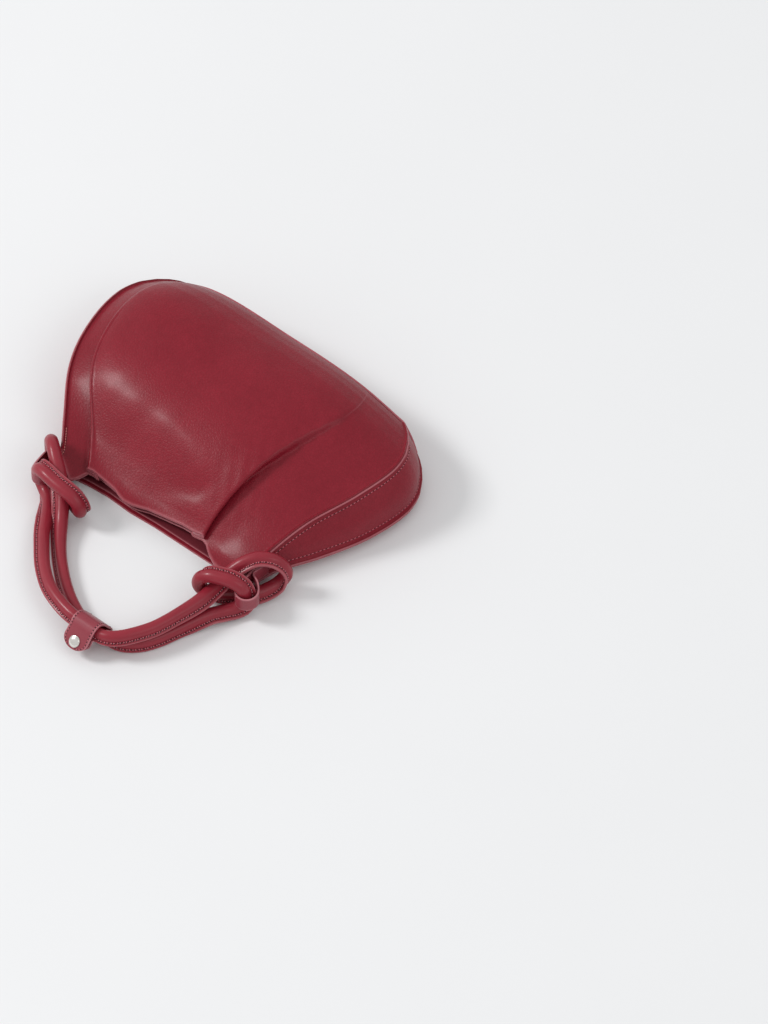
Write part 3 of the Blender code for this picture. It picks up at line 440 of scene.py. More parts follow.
# One wine leather in copies: the tube's and the straps' colours are set lighter as painted light and reflection, the
# facings' darker as painted shade inside the mouth.
leatherLooks = {
    "panelLeather": {"deep": (0.160, 0.006, 0.014), "main": (0.310, 0.018, 0.034), "light": wineLight,
                     "rough": 0.34, "depth": 1.1, "cellSize": 600.0, "gloss": 0.15, "coat": 0.13},
    "tubeLeather": {"deep": (0.210, 0.010, 0.021), "main": (0.350, 0.026, 0.045), "light": wineLight,
                    "rough": 0.36, "depth": 0.3, "cellSize": 1700.0, "gloss": 0.24, "coat": 0.26},
    "strapLeather": {"deep": (0.200, 0.018, 0.032), "main": (0.350, 0.046, 0.068), "light": (0.56, 0.22, 0.25),
                     "rough": 0.36, "depth": 0.35, "cellSize": 1700.0, "gloss": 0.4, "coat": 0.2},
    "facingLeather": {"deep": (0.120, 0.010, 0.018), "main": (0.215, 0.024, 0.036), "light": wineLight,
                      "rough": 0.5, "depth": 0.35, "cellSize": 1250.0, "gloss": 0.3, "coat": 0.05},
}
panelLeather, tubeLeather, strapLeather, facingLeather = (
    leatherMaterial(name, **look) for name, look in leatherLooks.items())


def clothMaterial(name, dark, light):
    # Plain weave from two crossed waves of fine threads, over the object's own coordinates.
    material, tree, shader = newMaterial(name, {"Roughness": 0.75, "Sheen Weight": 0.2})
    across, along = (objectTexture(tree, "ShaderNodeTexWave", {"Scale": 520.0, "Distortion": 0.6, "Detail": 1.0},
                                   wave_type="BANDS", bands_direction=axis) for axis in ("X", "Y"))
    weave = mathNode(tree, "MULTIPLY", across.outputs["Fac"], along.outputs["Fac"])
    noise = objectTexture(tree, "ShaderNodeTexNoise", {"Scale": 60.0, "Detail": 4.0})
    factor = mathNode(tree, "ADD", mathNode(tree, "MULTIPLY", weave, 0.6),
                      mathNode(tree, "MULTIPLY", noise.outputs["Fac"], 0.4))
    tree.links.new(mixColour(tree, factor, dark, light), shader.inputs["Base Color"])
    tree.links.new(bumpNormal(tree, weave, 0.0001, 0.5), shader.inputs["Normal"])
    return material


def threadMaterial(name, dark, light):
    # Twisted thread: fine diagonal bands over a slightly varied colour.
    material, tree, shader = newMaterial(name, {"Roughness": 0.5})
    twist = objectTexture(tree, "ShaderNodeTexWave", {"Scale": 900.0, "Distortion": 1.0},
                          wave_type="BANDS", bands_direction="DIAGONAL")
    tree.links.new(mixColour(tree, twist.outputs["Fac"], dark, light), shader.inputs["Base Color"])
    tree.links.new(bumpNormal(tree, twist.outputs["Fac"], 0.00008, 0.5), shader.inputs["Normal"])
    return material


def mottledMaterial(name, dark, light, noiseInputs, values):
    # One colour that wanders between two under a noise: the material, its tree, shader and noise.
    material, tree, shader = newMaterial(name, values)
    noise = objectTexture(tree, "ShaderNodeTexNoise", noiseInputs)
    tree.links.new(mixColour(tree, noise.outputs["Fac"], dark, light), shader.inputs["Base Color"])
    return material, tree, shader, noise


def nickelMaterial():
    # Polished nickel with faint polishing haze and small marks.
    material, tree, shader, noise = mottledMaterial(
        "polishedNickel", (0.72, 0.70, 0.66), (0.86, 0.84, 0.80),
        {"Scale": 500.0, "Detail": 6.0, "Roughness": 0.7}, {"Metallic": 1.0})
    rough = mathNode(tree, "ADD", mathNode(tree, "MULTIPLY", noise.outputs["Fac"], 0.12), 0.12)
    tree.links.new(rough, shader.inputs["Roughness"])
    return material


liningCloth = clothMaterial("liningCloth", (0.070, 0.012, 0.018), (0.140, 0.030, 0.040))
thread = threadMaterial("thread", (0.44, 0.085, 0.115), (0.66, 0.200, 0.240))
paleThread = threadMaterial("paleThread", (0.55, 0.13, 0.13), (0.80, 0.28, 0.26))
# Painted shade: near-black colour for the shade inside the needle holes.
holeShadeMaterial = mottledMaterial("needleHoleShade", (0.02, 0.003, 0.005), (0.05, 0.008, 0.012),
                               {"Scale": 900.0}, {"Roughness": 0.9})[0]
nickel = nickelMaterial()


def makePiece(name, verts, faces, materials, nodes, attributes=None, bevel=0.0, angle=50.0, index=None):
    # One mesh from millimetre points and quads given as arrays, riding on the root body.
    mesh = bpy.data.meshes.new(name)
    mesh.from_pydata((np.asarray(verts) * mm).tolist(), [], [list(map(int, f)) for f in faces])
    mesh.update()
    mesh.polygons.foreach_set("use_smooth", np.ones(len(mesh.polygons), dtype=bool))
    if index is not None:
        mesh.polygons.foreach_set("material_index", np.asarray(index, dtype=np.int32))
    for key, values in (attributes or {}).items():
        layer = mesh.attributes.new(key, "FLOAT", "POINT")
        layer.data.foreach_set("value", np.asarray(values, dtype=np.float32))
    mesh.set_sharp_from_angle(angle=math.radians(angle))
    piece = bpy.data.objects.new(name, mesh)
    bpy.context.scene.collection.objects.link(piece)
    for material in materials:
        mesh.materials.append(material)
    if bevel > 0.0:
        rim = piece.modifiers.new("rim", "BEVEL")
        rim.width = bevel * mm
        rim.segments = 3
        rim.limit_method = "ANGLE"
        rim.angle_limit = math.radians(55.0)
        rim.miter_outer = "MITER_ARC"
    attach(piece, "root")
    if nodes:
        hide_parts(*nodes)
    return piece


def turnedOut(verts, faces):
    # Turns all faces over where the closed mesh encloses a negative volume.
    verts = np.asarray(verts)
    faces = np.asarray(faces)
    a, b, c, d = (verts[faces[:, k]] for k in range(4))
    volume = (a * np.cross(b, c)).sum() + (a * np.cross(c, d)).sum()
    return faces if volume > 0.0 else faces[:, ::-1]


def ringQuads(rows, sides, joined):
    # Quads between the closed rows of a grid; where joined, the last row meets the first.
    i, j = np.meshgrid(np.arange(rows if joined else rows - 1), np.arange(sides), indexing="ij")
    ahead = (i + 1) % rows
    beside = (j + 1) % sides
    corners = (i * sides + j, i * sides + beside, ahead * sides + beside, ahead * sides + j)
    return np.stack([corner.ravel() for corner in corners], axis=1)


def slab(outer, inner, loop=False):
    # A closed sheet of quads from an outer and an inner grid, with the rims between them.
    rows, cols = outer.shape[:2]
    verts = np.vstack([outer.reshape(-1, 3), inner.reshape(-1, 3)])
    lift = rows * cols
    wide = cols if loop else cols - 1
    i, j = np.meshgrid(np.arange(rows - 1), np.arange(wide), indexing="ij")
    a = (i * cols + j).ravel()
    b = (i * cols + (j + 1) % cols).ravel()
    quad = np.stack([a, b, b + cols, a + cols], axis=1)
    faces = [quad, quad[:, ::-1] + lift]
    j = np.arange(wide)
    k = (j + 1) % cols
    last = (rows - 1) * cols
    faces.append(np.stack([k, j, j + lift, k + lift], axis=1))
    faces.append(np.stack([last + j, last + k, last + k + lift, last + j + lift], axis=1))
    if not loop:
        a = np.arange(rows - 1) * cols
        faces.append(np.stack([a, a + cols, a + cols + lift, a + lift], axis=1))
        b = a + cols - 1
        faces.append(np.stack([b + cols, b, b + lift, b + cols + lift], axis=1))
    return verts, turnedOut(verts, np.vstack(faces))


def edgeWearAndHighlight(rows, cols, wide, tall, reach):
    # 1 at a grid's borders falling to 0 over a reach in millimetres, for both grids of a slab: the lighter edges,
    # partly wear and partly painted highlight.
    i = np.arange(rows)[:, None] / (rows - 1) * tall
    j = np.arange(cols)[None, :] / (cols - 1) * wide
    near = np.minimum(np.minimum(i, tall - i), np.minimum(j, wide - j))
    return np.tile((np.clip(1.0 - near / reach, 0.0, 1.0)**2).ravel(), 2)


# The panels of the body.
bodyStations = np.concatenate([np.linspace(0.0, 3.0, 5), np.linspace(4.2, 60.0, 48),
                               np.linspace(61.6, 150.0, 52), np.linspace(151.5, 186.0, 26)])


def panelGrid(lineAt, part):
    return sectionGrid(lineAt, part, bodyStations)


def sectionNormals(grid):
    # Each section's own 2-D normals, without a part along the body.
    return np.array([np.insert(sideNormals(row[:, [0, 2]]), 1, 0.0, axis=1) for row in grid])


def thickPanel(grid, thickness):
    # Outer and inner grids half a thickness either side, along the sections' normals.
    half = 0.5 * np.broadcast_to(thickness, grid.shape[:2])[..., None] * sectionNormals(grid)
    return grid + half, grid - half


def frontDents(grid, normals, centrePart):
    # Soft undulations of slack leather: broad waves, a dip below the mouth, drag lines at the pleats.
    v = bodyStations[:, None] * np.ones(grid.shape[:2])
    x = grid[..., 0]
    broad = 0.6 * softWaves(grid, 95.0, 1) + 0.2 * softWaves(grid, 41.0, 3)
    ramp = smoothStep(v, 4.0, 45.0) * (1.0 - smoothStep(v, 150.0, 184.0))
    leftX = np.array([mark("leftFoldX", s) for s in bodyStations])[:, None]
    rightX = np.array([mark("rightFoldX", s) for s in bodyStations])[:, None]
    inside = smoothStep(x, leftX + 6.0, leftX + 22.0) * (1.0 - smoothStep(x, rightX - 20.0, rightX - 6.0))
    dip = -1.2 * np.exp(-((v - 26.0 - 0.35 * (x - 10.0)) / 9.0)**2 - ((x - 8.0) / 30.0)**2)
    dip += 0.9 * np.exp(-((v - 46.0 + 0.3 * (x + 10.0)) / 10.0)**2 - ((x + 12.0) / 34.0)**2)
    drag = 0.35 * np.sin((v * 0.5 + x * 0.9) * 0.55) * np.exp(-np.abs(x - rightX) / 16.0) * smoothStep(v, 3.0, 20.0)
    sideDip = -0.9 * np.exp(-((v - 22.0) / 14.0)**2 - ((x - rightX - 24.0) / 11.0)**2)
    shoulder = -2.6 * np.exp(-np.maximum(x - leftX, 0.0) / 15.0) * smoothStep(x, leftX - 8.0, leftX + 2.0)
    shoulder = shoulder * (1.0 - smoothStep(v, 90.0, 150.0)) * smoothStep(v, 2.0, 26.0)
    amount = (broad * ramp + dip) * inside + drag * ramp * 0.6 + sideDip + shoulder * centrePart
    return grid + normals * amount[..., None]


front = panelGrid(lambda v: withFlanges(frontLine(v), seamPoints(v)[0], seamPoints(v)[1], v), "front")
# Columns of the raised part between the folds: 7 beside the seam, 16 of the side part, 23 of the fold.
column = np.arange(front.shape[1])[None, :]
front = frontDents(front, sectionNormals(front), smoothStep(column, 33.0, 45.0) * (column < front.shape[1] - 60))
# The mouth's edge is turned over: a fuller roll, then a faint dip where the turned layer ends.
v = bodyStations[:, None]
thick = body["leather"] + 0.55 * (1.0 - smoothStep(v, 0.0, 7.5)) - 0.22 * np.exp(-((v - 8.4) / 1.1)**2)
frontOuter, inner = thickPanel(front, thick)
# Lighter colour at the mouth's edge, and on the outside where the leather bends sharply: partly wear, partly a
# painted highlight on the rolled edge and the fold crests.
bend = np.linalg.norm(np.diff(front, 2, axis=1), axis=2)
step = np.linalg.norm(np.diff(front, axis=1), axis=2)
wearAndHighlight = np.tile(0.75 * np.exp(-(v / 1.1)**2), (2, 1, front.shape[1]))
wearAndHighlight[0, :, 1:-1] += 0.5 * smoothStep(bend / np.maximum((step[:, 1:] + step[:, :-1])**2, 1e-6), 0.25, 1.0)
verts, faces = slab(frontOuter, inner)
makePiece("frontPanel", verts, faces, [panelLeather], ["front_panel"],
          {"wearAndHighlight": np.clip(wearAndHighlight, 0.0, 1.0).ravel()}, bevel=0.32)
print("front panel", len(verts))


def gussetSection(v, side, count):
    # A side panel's line with its seam flanges.
    left, right, lowLeft, lowRight = seamPoints(v)
    corners = (right, lowRight) if side > 0 else (left, lowLeft)
    return withFlanges(trimmed(gussetLine(v, side), count), *corners, v)


sideOuter = {}
for side, label in ((1, "Right"), (-1, "Left")):
    grid = panelGrid(lambda v: gussetSection(v, side, 26), "gusset")
    middle = np.sin(math.pi * np.linspace(0.0, 1.0, grid.shape[1]))[None, :]**2
    waves = 0.7 * softWaves(grid, 48.0, 4 + side) * middle * smoothStep(bodyStations[:, None], 10.0, 40.0)
    grid = grid + sectionNormals(grid) * waves[..., None]
    outer, inner = thickPanel(grid, body["leather"])[::side]
    verts, faces = slab(outer, inner)
    # Lighter edges: partly wear, partly a painted highlight.
    wearAndHighlight = edgeWearAndHighlight(*grid.shape[:2], 36.0, 190.0, 1.2)
    makePiece("gusset" + label, verts, faces, [panelLeather],
              ["gusset_right" if side > 0 else "gusset_left"], {"wearAndHighlight": wearAndHighlight}, bevel=0.32)
    sideOuter[side] = (outer, inner)

back = panelGrid(lambda v: withFlanges(trimmed(backLine(v), 112), seamPoints(v)[2], seamPoints(v)[3], v), "back")
verts, faces = slab(*thickPanel(back, body["leather"]))
makePiece("backPanel", verts, faces, [panelLeather], ["back_panel"],
          {"wearAndHighlight": edgeWearAndHighlight(*back.shape[:2], 250.0, 190.0, 1.4)}, bevel=0.32)
print("sides and back")


def ringAt(v, count):
    # The whole section as one closed ring without seam edges.
    front = frontBase(v)
    right = gussetLine(v, 1, 40)
    back = backLine(v)[::-1]
    left = gussetLine(v, -1, 40)[::-1]
    ring = np.vstack([front, right[1:], back[1:], left[1:]])
    return resample(ring, np.linspace(0.0, lengths(ring)[-1], count, endpoint=False))


def ringNormals(ring):
    return sideNormals(np.vstack([ring[-1:], ring, ring[:1]]))[1:-1]


# Base: a slightly padded plate that closes the far end.
ring = ringAt(body["length"], 220)
endRing = rounded(ring + ringNormals(ring) * 0.5 * body["leather"], body["length"])
endCentre = endRing.mean(axis=0)
scale = 1.0 - np.linspace(0.0, 1.0, 40)**1.2 * 0.9994
rise = 4.4 * np.sin(0.5 * math.pi * np.clip((1.0 - scale) / 0.9, 0.0, 1.0))
inner = np.array([np.insert(endCentre + (endRing - endCentre) * s, 1, body["length"] + 0.3 + b, axis=1) + shift
                  for s, b in zip(scale, rise)])
outer = inner + np.array([0.0, body["leather"], 0.0])
verts, faces = slab(outer, inner, loop=True)
# The rim of the base is lighter: partly wear, partly a painted highlight.
makePiece("basePanel", verts, faces, [panelLeather], ["base_panel"],
          {"wearAndHighlight": np.tile(np.exp(-(np.arange(40) / 2.0)**2)[:, None].repeat(220, 1).ravel(), 2)}, bevel=0.3)

# Facings inside the mouth and the lining below them.
facingInset = 0.5 * body["leather"] + 3.0 * body["clearance"] + 0.5
facingStations = np.linspace(2.4, 33.0, 26)


def cornerCut(first, second):
    # How far facings stop short of a corner between two lines that leave it, so they clear.
    a = first[3] - first[0]
    b = second[3] - second[0]
    wedge = math.acos((a @ b) / np.linalg.norm(a) / np.linalg.norm(b))
    return (facingInset + 0.5 + body["clearance"]) / math.tan(0.5 * wedge)


def facingRows(name, v, count):
    front = frontBase(v, 161)
    right = gussetLine(v, 1, 41)
    left = gussetLine(v, -1, 41)
    cutRight = cornerCut(front[::-1], right)
    cutLeft = cornerCut(front, left)
    line, startCut, endCut = {"front": (front, cutLeft, cutRight), "back": (backLine(v)[::-1], 2.0, 2.0),
                              "right": (right, cutRight, 2.4), "left": (left, cutLeft, 2.4)}[name]
    line = resample(line, np.linspace(startCut, lengths(line)[-1] - endCut, count))
    return line[::-1] if name == "left" else line


for name, node, part, count in (("front", "front_facing", "front", 90), ("back", "back_facing", "back", 90),
                                ("right", "gusset_facing_right", "gusset", 12),
                                ("left", "gusset_facing_left", "gusset", 12)):
    def faceLine(v, inset):
        line = facingRows(name, v, count)
        return line - sideNormals(line) * inset

    outer = sectionGrid(lambda v: faceLine(v, facingInset - 0.5), part, facingStations)
    inner = sectionGrid(lambda v: faceLine(v, facingInset + 0.5), part, facingStations)
    verts, faces = slab(outer, inner)
    makePiece(name + "Facing", verts, faces, [facingLeather], [node],
              {"wearAndHighlight": edgeWearAndHighlight(26, count, 60.0, 32.0, 1.6)}, bevel=0.2)

liningStations = np.concatenate([np.linspace(33.9, 60.0, 12), np.linspace(66.0, 160.0, 20),
                                 np.linspace(163.0, 179.5, 8)])


def liningRing(v, way):
    ring = ringAt(v, 160)
    sag = 0.5 * np.sin(np.arange(160) * 0.55 + v * 0.08) * smoothStep(v, 40.0, 60.0)
    return ring + ringNormals(ring) * (0.4 * way - facingInset - 2.0 * body["clearance"] - np.abs(sag))[:, None]


outer = list(sectionGrid(lambda v: liningRing(v, 1.0), "lining", liningStations))
inner = list(sectionGrid(lambda v: liningRing(v, -1.0), "lining", liningStations))
lastOut = outer[-1]
lastIn = inner[-1]
centre = lastOut.mean(axis=0)
for s, d in ((0.97, 1.6), (0.9, 2.6), (0.7, 3.9), (0.4, 4.7), (0.15, 4.9), (0.0008, 4.9)):
    outer.append(centre + (lastOut - centre) * s + np.array([0.0, d, 0.0]))
    inner.append(centre + (lastIn - centre) * s + np.array([0.0, d - 0.8, 0.0]))
verts, faces = slab(np.array(outer), np.array(inner), loop=True)
makePiece("liningBag", verts, faces, [liningCloth], ["lining"])
print("base, facings, lining")

# The sewn tube in millimetres: its section, and the stitches across its flat layers.
handle = {
    "coreRadius": 4.85,
    "coreAt": -1.2,
    "flange": [[2.95, 2.3], [3.35, 1.6], [3.8, 1.25], [4.6, 1.22], [5.8, 1.2], [6.5, 1.0], [6.8, 0.5]],
    "edgeAt": 6.9,
    "knotGrowth": 0.15,  # how much fuller the wraps are than the legs
    "keeperShrink": 0.07,
    "gripLift": 2.2,
    "stitchPitch": 2.25,
    "stitchAt": 4.15,
    "stitchOver": 1.27,
}

# The handle's course, close to the solid tube's: points as X, distance from the mouth, height.
rightKnot = np.array([
    [79.0, -47.0, 19.0], [80.0, -30.0, 20.0], [82.0, -13.0, 25.5], [88.0, -2.0, 32.5],
    [95.0, 6.0, 35.8], [103.0, 12.5, 34.3], [110.0, 17.5, 27.5], [112.5, 19.0, 18.0],
    [110.0, 15.0, 9.8], [106.2, 5.0, 6.6], [100.8, -5.6, 6.2], [90.5, -14.0, 6.2],
    [81.0, -22.0, 6.4], [72.8, -28.0, 8.8], [67.0, -31.5, 14.2], [65.5, -32.5, 21.0],
    [68.0, -32.0, 29.0], [75.0, -30.0, 34.8], [84.0, -27.0, 36.6], [93.2, -23.6, 36.0],
    [101.0, -20.4, 31.0], [103.9, -19.4, 23.0], [104.0, -19.2, 15.5], [102.7, -21.0, 9.8],
    [98.8, -26.8, 6.5], [93.5, -35.5, 6.2], [87.0, -46.0, 6.2]])
leftKnot = np.array([
    [-67.0, -50.5, 10.5], [-74.5, -41.0, 16.0], [-82.5, -32.8, 21.5], [-90.0, -25.5, 27.3],
    [-99.5, -18.4, 32.2], [-107.5, -12.0, 34.2], [-113.5, -6.8, 31.6], [-117.0, -3.0, 26.0],
    [-118.0, -1.6, 19.0], [-116.6, -3.2, 12.0], [-111.8, -8.0, 7.2], [-103.8, -13.8, 6.2],
    [-93.5, -18.8, 6.2], [-83.0, -23.8, 6.4], [-72.0, -28.5, 7.6], [-62.5, -32.5, 11.5],
    [-57.0, -35.4, 16.5], [-58.5, -36.2, 24.0], [-64.5, -36.6, 30.0], [-73.5, -36.8, 32.6],
    [-84.5, -36.0, 33.4], [-95.5, -34.0, 33.4], [-104.5, -31.2, 29.6], [-107.5, -29.2, 23.0],
    [-107.2, -28.4, 15.5], [-105.3, -29.6, 9.8], [-99.2, -33.2, 6.4], [-91.8, -38.5, 6.2],
    [-84.8, -47.0, 6.9]])
topLeg = np.array([
    [-78.0, -57.0, 8.2], [-70.3, -68.0, 10.2], [-59.5, -80.5, 12.4], [-42.0, -98.5, 15.2],
    [-22.5, -112.5, 16.6], [-4.0, -119.8, 17.0], [8.0, -122.6, 17.0], [18.5, -123.4, 17.0],
    [30.0, -123.4, 17.0], [41.5, -123.4, 17.0], [48.5, -121.3, 18.2], [55.5, -115.2, 18.9],
    [62.8, -104.0, 19.0], [69.5, -90.0, 19.0], [75.0, -69.0, 19.0]])
lowLeg = np.array([
    [79.0, -68.0, 6.2], [71.5, -89.0, 6.2], [64.0, -101.8, 6.2], [55.5, -109.6, 6.3],
    [48.5, -113.2, 7.0], [41.5, -114.4, 8.0], [30.0, -114.4, 8.0], [18.5, -114.4, 8.0],
    [10.5, -113.4, 7.7], [1.0, -109.6, 7.0], [-12.0, -102.4, 6.5], [-28.0, -91.0, 6.2],
    [-45.0, -76.0, 6.2], [-57.5, -62.5, 7.6]])
# Which way the tube's sewn edge faces at each point of the knots.
rightEdge = np.array([
    [1.0, -0.2, -0.35], [1.0, -0.2, -0.3], [0.9, -0.5, -0.2], [0.75, -0.6, -0.1],
    [0.6, -0.75, 0.1], [0.55, -0.75, 0.2], [0.6, -0.75, 0.25], [0.65, -0.75, 0.0],
    [0.7, -0.7, -0.1], [0.7, -0.55, -0.3], [0.7, -0.5, -0.4], [0.5, -0.6, -0.6],
    [0.3, -0.4, -0.85], [-0.1, 0.2, -0.95], [-0.4, 0.7, -0.6], [-0.35, 0.93, -0.1],
    [-0.3, 0.9, 0.2], [-0.1, 0.9, 0.35], [0.0, 0.9, 0.4], [0.1, 0.9, 0.35],
    [0.35, 0.85, 0.3], [0.6, 0.8, 0.1], [0.75, 0.6, 0.0], [0.85, 0.3, -0.3],
    [0.85, -0.2, -0.35], [0.9, -0.35, -0.2], [0.9, -0.3, -0.1]])
leftEdge = np.array([
    [-0.8, -0.4, -0.3], [-0.78, -0.55, -0.25], [-0.72, -0.55, -0.35], [-0.5, -0.3, -0.7],
    [-0.3, 0.0, -0.9], [-0.1, 0.1, -0.95], [0.1, 0.2, -0.9], [0.5, 0.2, -0.8],
    [0.9, 0.1, -0.3], [0.7, -0.1, 0.6], [0.2, -0.3, 0.8], [-0.1, -0.5, 0.5],
    [-0.2, -0.3, -0.9], [0.0, 0.0, -0.95], [0.2, 0.4, -0.85], [0.35, 0.75, -0.5],
    [0.35, 0.92, -0.1], [0.25, 0.92, 0.25], [0.1, 0.88, 0.45], [0.03, 0.86, 0.5],
    [0.0, 0.86, 0.5], [-0.05, 0.88, 0.42], [-0.3, 0.92, 0.2], [-0.45, 0.88, 0.05],
    [-0.55, 0.8, -0.15], [-0.6, 0.45, -0.6], [-0.6, 0.0, -0.8], [-0.65, -0.4, -0.6],
    [-0.7, -0.6, -0.35]])


def legEdge(points, down):
    # The sewn edge of a leg faces out of the handle's loop, in a plane that leans to the front.
    edge = np.cross(np.gradient(points, axis=0), [0.41, -0.49, 0.77])
    edge = unit(edge)
    edge *= np.sign((edge[:, :2] * (points[:, :2] - [4.0, -45.0])).sum(axis=1))[:, None]
    return edge + np.array([0.0, 0.0, down])


handlePoints = np.vstack([topLeg, rightKnot, lowLeg, leftKnot])
handleEdge = np.vstack([legEdge(topLeg, 0.0), rightEdge, legEdge(lowLeg, -0.3), leftEdge])


def closedSpline(points, step, extra):
    # Closed Catmull-Rom curve through the points in even steps, with an extra value carried along.
    p0 = np.roll(points, 1, axis=0)
    p2 = np.roll(points, -1, axis=0)
    p3 = np.roll(points, -2, axis=0)
    k01 = np.linalg.norm(points - p0, axis=1)[:, None]**0.5
    k12 = np.linalg.norm(p2 - points, axis=1)[:, None]**0.5
    k23 = np.linalg.norm(p3 - p2, axis=1)[:, None]**0.5
    m1 = (p2 - points) + k12 * ((points - p0) / k01 - (p2 - p0) / (k01 + k12))
    m2 = (p2 - points) + k12 * ((p3 - p2) / k23 - (p3 - points) / (k12 + k23))
    t = np.linspace(0.0, 1.0, 40, endpoint=False)[None, :, None]
    line = ((2 * t**3 - 3 * t**2 + 1) * points[:, None] + (t**3 - 2 * t**2 + t) * m1[:, None]
            + (3 * t**2 - 2 * t**3) * p2[:, None] + (t**3 - t**2) * m2[:, None]).reshape(-1, 3)
    hint = (extra[:, None] * (1 - t) + np.roll(extra, -1, axis=0)[:, None] * t).reshape(-1, 3)
    closed = np.vstack([line, line[:1]])
    along = lengths(closed)
    even = np.linspace(0.0, along[-1], int(round(along[-1] / step)), endpoint=False)
    return readAt(even, along, closed), readAt(even, along, np.vstack([hint, hint[:1]])), along[-1] / len(even)


# The upper leg of the grip stands a little proud of the solid one.
handlePoints[:len(topLeg), 2] += handle["gripLift"] * np.exp(-((topLeg[:, 0] - 20.0) / 42.0)**2)
tubeLine, tubeHint, tubeStep = closedSpline(handlePoints, 0.9, handleEdge)


def loopSmooth(values, passes):
    for _ in range(passes):
        values = 0.25 * np.roll(values, 1, axis=0) + 0.5 * values + 0.25 * np.roll(values, -1, axis=0)
    return values


tangent = unit(np.roll(tubeLine, -1, axis=0) - np.roll(tubeLine, 1, axis=0))
edgeWay = tubeHint
for _ in range(3):
    edgeWay = squareTo(tangent, loopSmooth(edgeWay, 12))
overWay = np.cross(tangent, edgeWay)


def tubeSection():
    # Outline of the sewn tube in (towards the sewn edge, over): a round core, and two flat
    # layers that leave it through a soft hollow and end in a rounded edge.
    angles = np.radians(np.linspace(42.0, 318.0, 30))
    core = handle["coreRadius"] * np.stack([np.cos(angles), np.sin(angles)], axis=1) + [handle["coreAt"], 0.0]
    flange = np.array(handle["flange"])
    return np.vstack([[[handle["edgeAt"], 0.0]], flange[::-1], core, flange * [1.0, -1.0]])


section = tubeSection()
curvature = (np.roll(tangent, -4, axis=0) - np.roll(tangent, 4, axis=0)) / (8.0 * tubeStep)
curvature = loopSmooth(curvature, 3)
along = np.arange(len(tubeLine)) * tubeStep
radial = (edgeWay[:, None] * section[None, :, 0:1] + overWay[:, None] * section[None, :, 1:2])
radialWay = unit(radial)
inward = (radialWay * curvature[:, None]).sum(axis=2)
pucker = smoothStep(inward, 0.035, 0.11)
jitter = 0.35 * np.sin(along * 0.41) + 0.25 * np.sin(along * 0.173 + 1.0)
folds = np.sin(2.0 * math.pi * along / 2.7 + 3.0 * jitter)[:, None] * (0.7 + 0.3 * np.sin(5.0 * radialWay[..., 2]))
flat = smoothStep(section[:, 0], 2.8, 3.8)[None, :]
ripple = 0.08 * np.sin(2.0 * math.pi * along / 3.1)[:, None] * flat
# The wraps of the knots are fuller than the legs, and the tube lies flat where it meets the table.
underKeeper = np.exp(-((tubeLine[:, 0] - 30.0) / 17.0)**4) * smoothStep(-tubeLine[:, 1], 90.0, 105.0)
fuller = (handle["knotGrowth"] * smoothStep(tubeLine[:, 1], -78.0, -42.0)
          - handle["keeperShrink"] * underKeeper)[:, None]
size = (1.0 + fuller) * (1.0 - pucker * (0.055 + 0.05 * folds)) + ripple * 0.04
tube = tubeLine[:, None] + radial * size[..., None] + shift
tube[..., 2] = np.maximum(tube[..., 2], 0.1)
rings, sides = tube.shape[:2]
quads = ringQuads(rings, sides, True)
# The sewn edge is lighter: partly wear, partly a painted highlight.
wearAndHighlight = np.broadcast_to(smoothStep(section[:, 0], 5.9, 6.8)[None, :] * 0.8, (rings, sides)).ravel()
makePiece("handleTube", tube.reshape(-1, 3), turnedOut(tube.reshape(-1, 3), quads), [tubeLeather],
          ["handle_tube"], {"wearAndHighlight": wearAndHighlight}, angle=80.0)
print("handle tube", rings * sides)


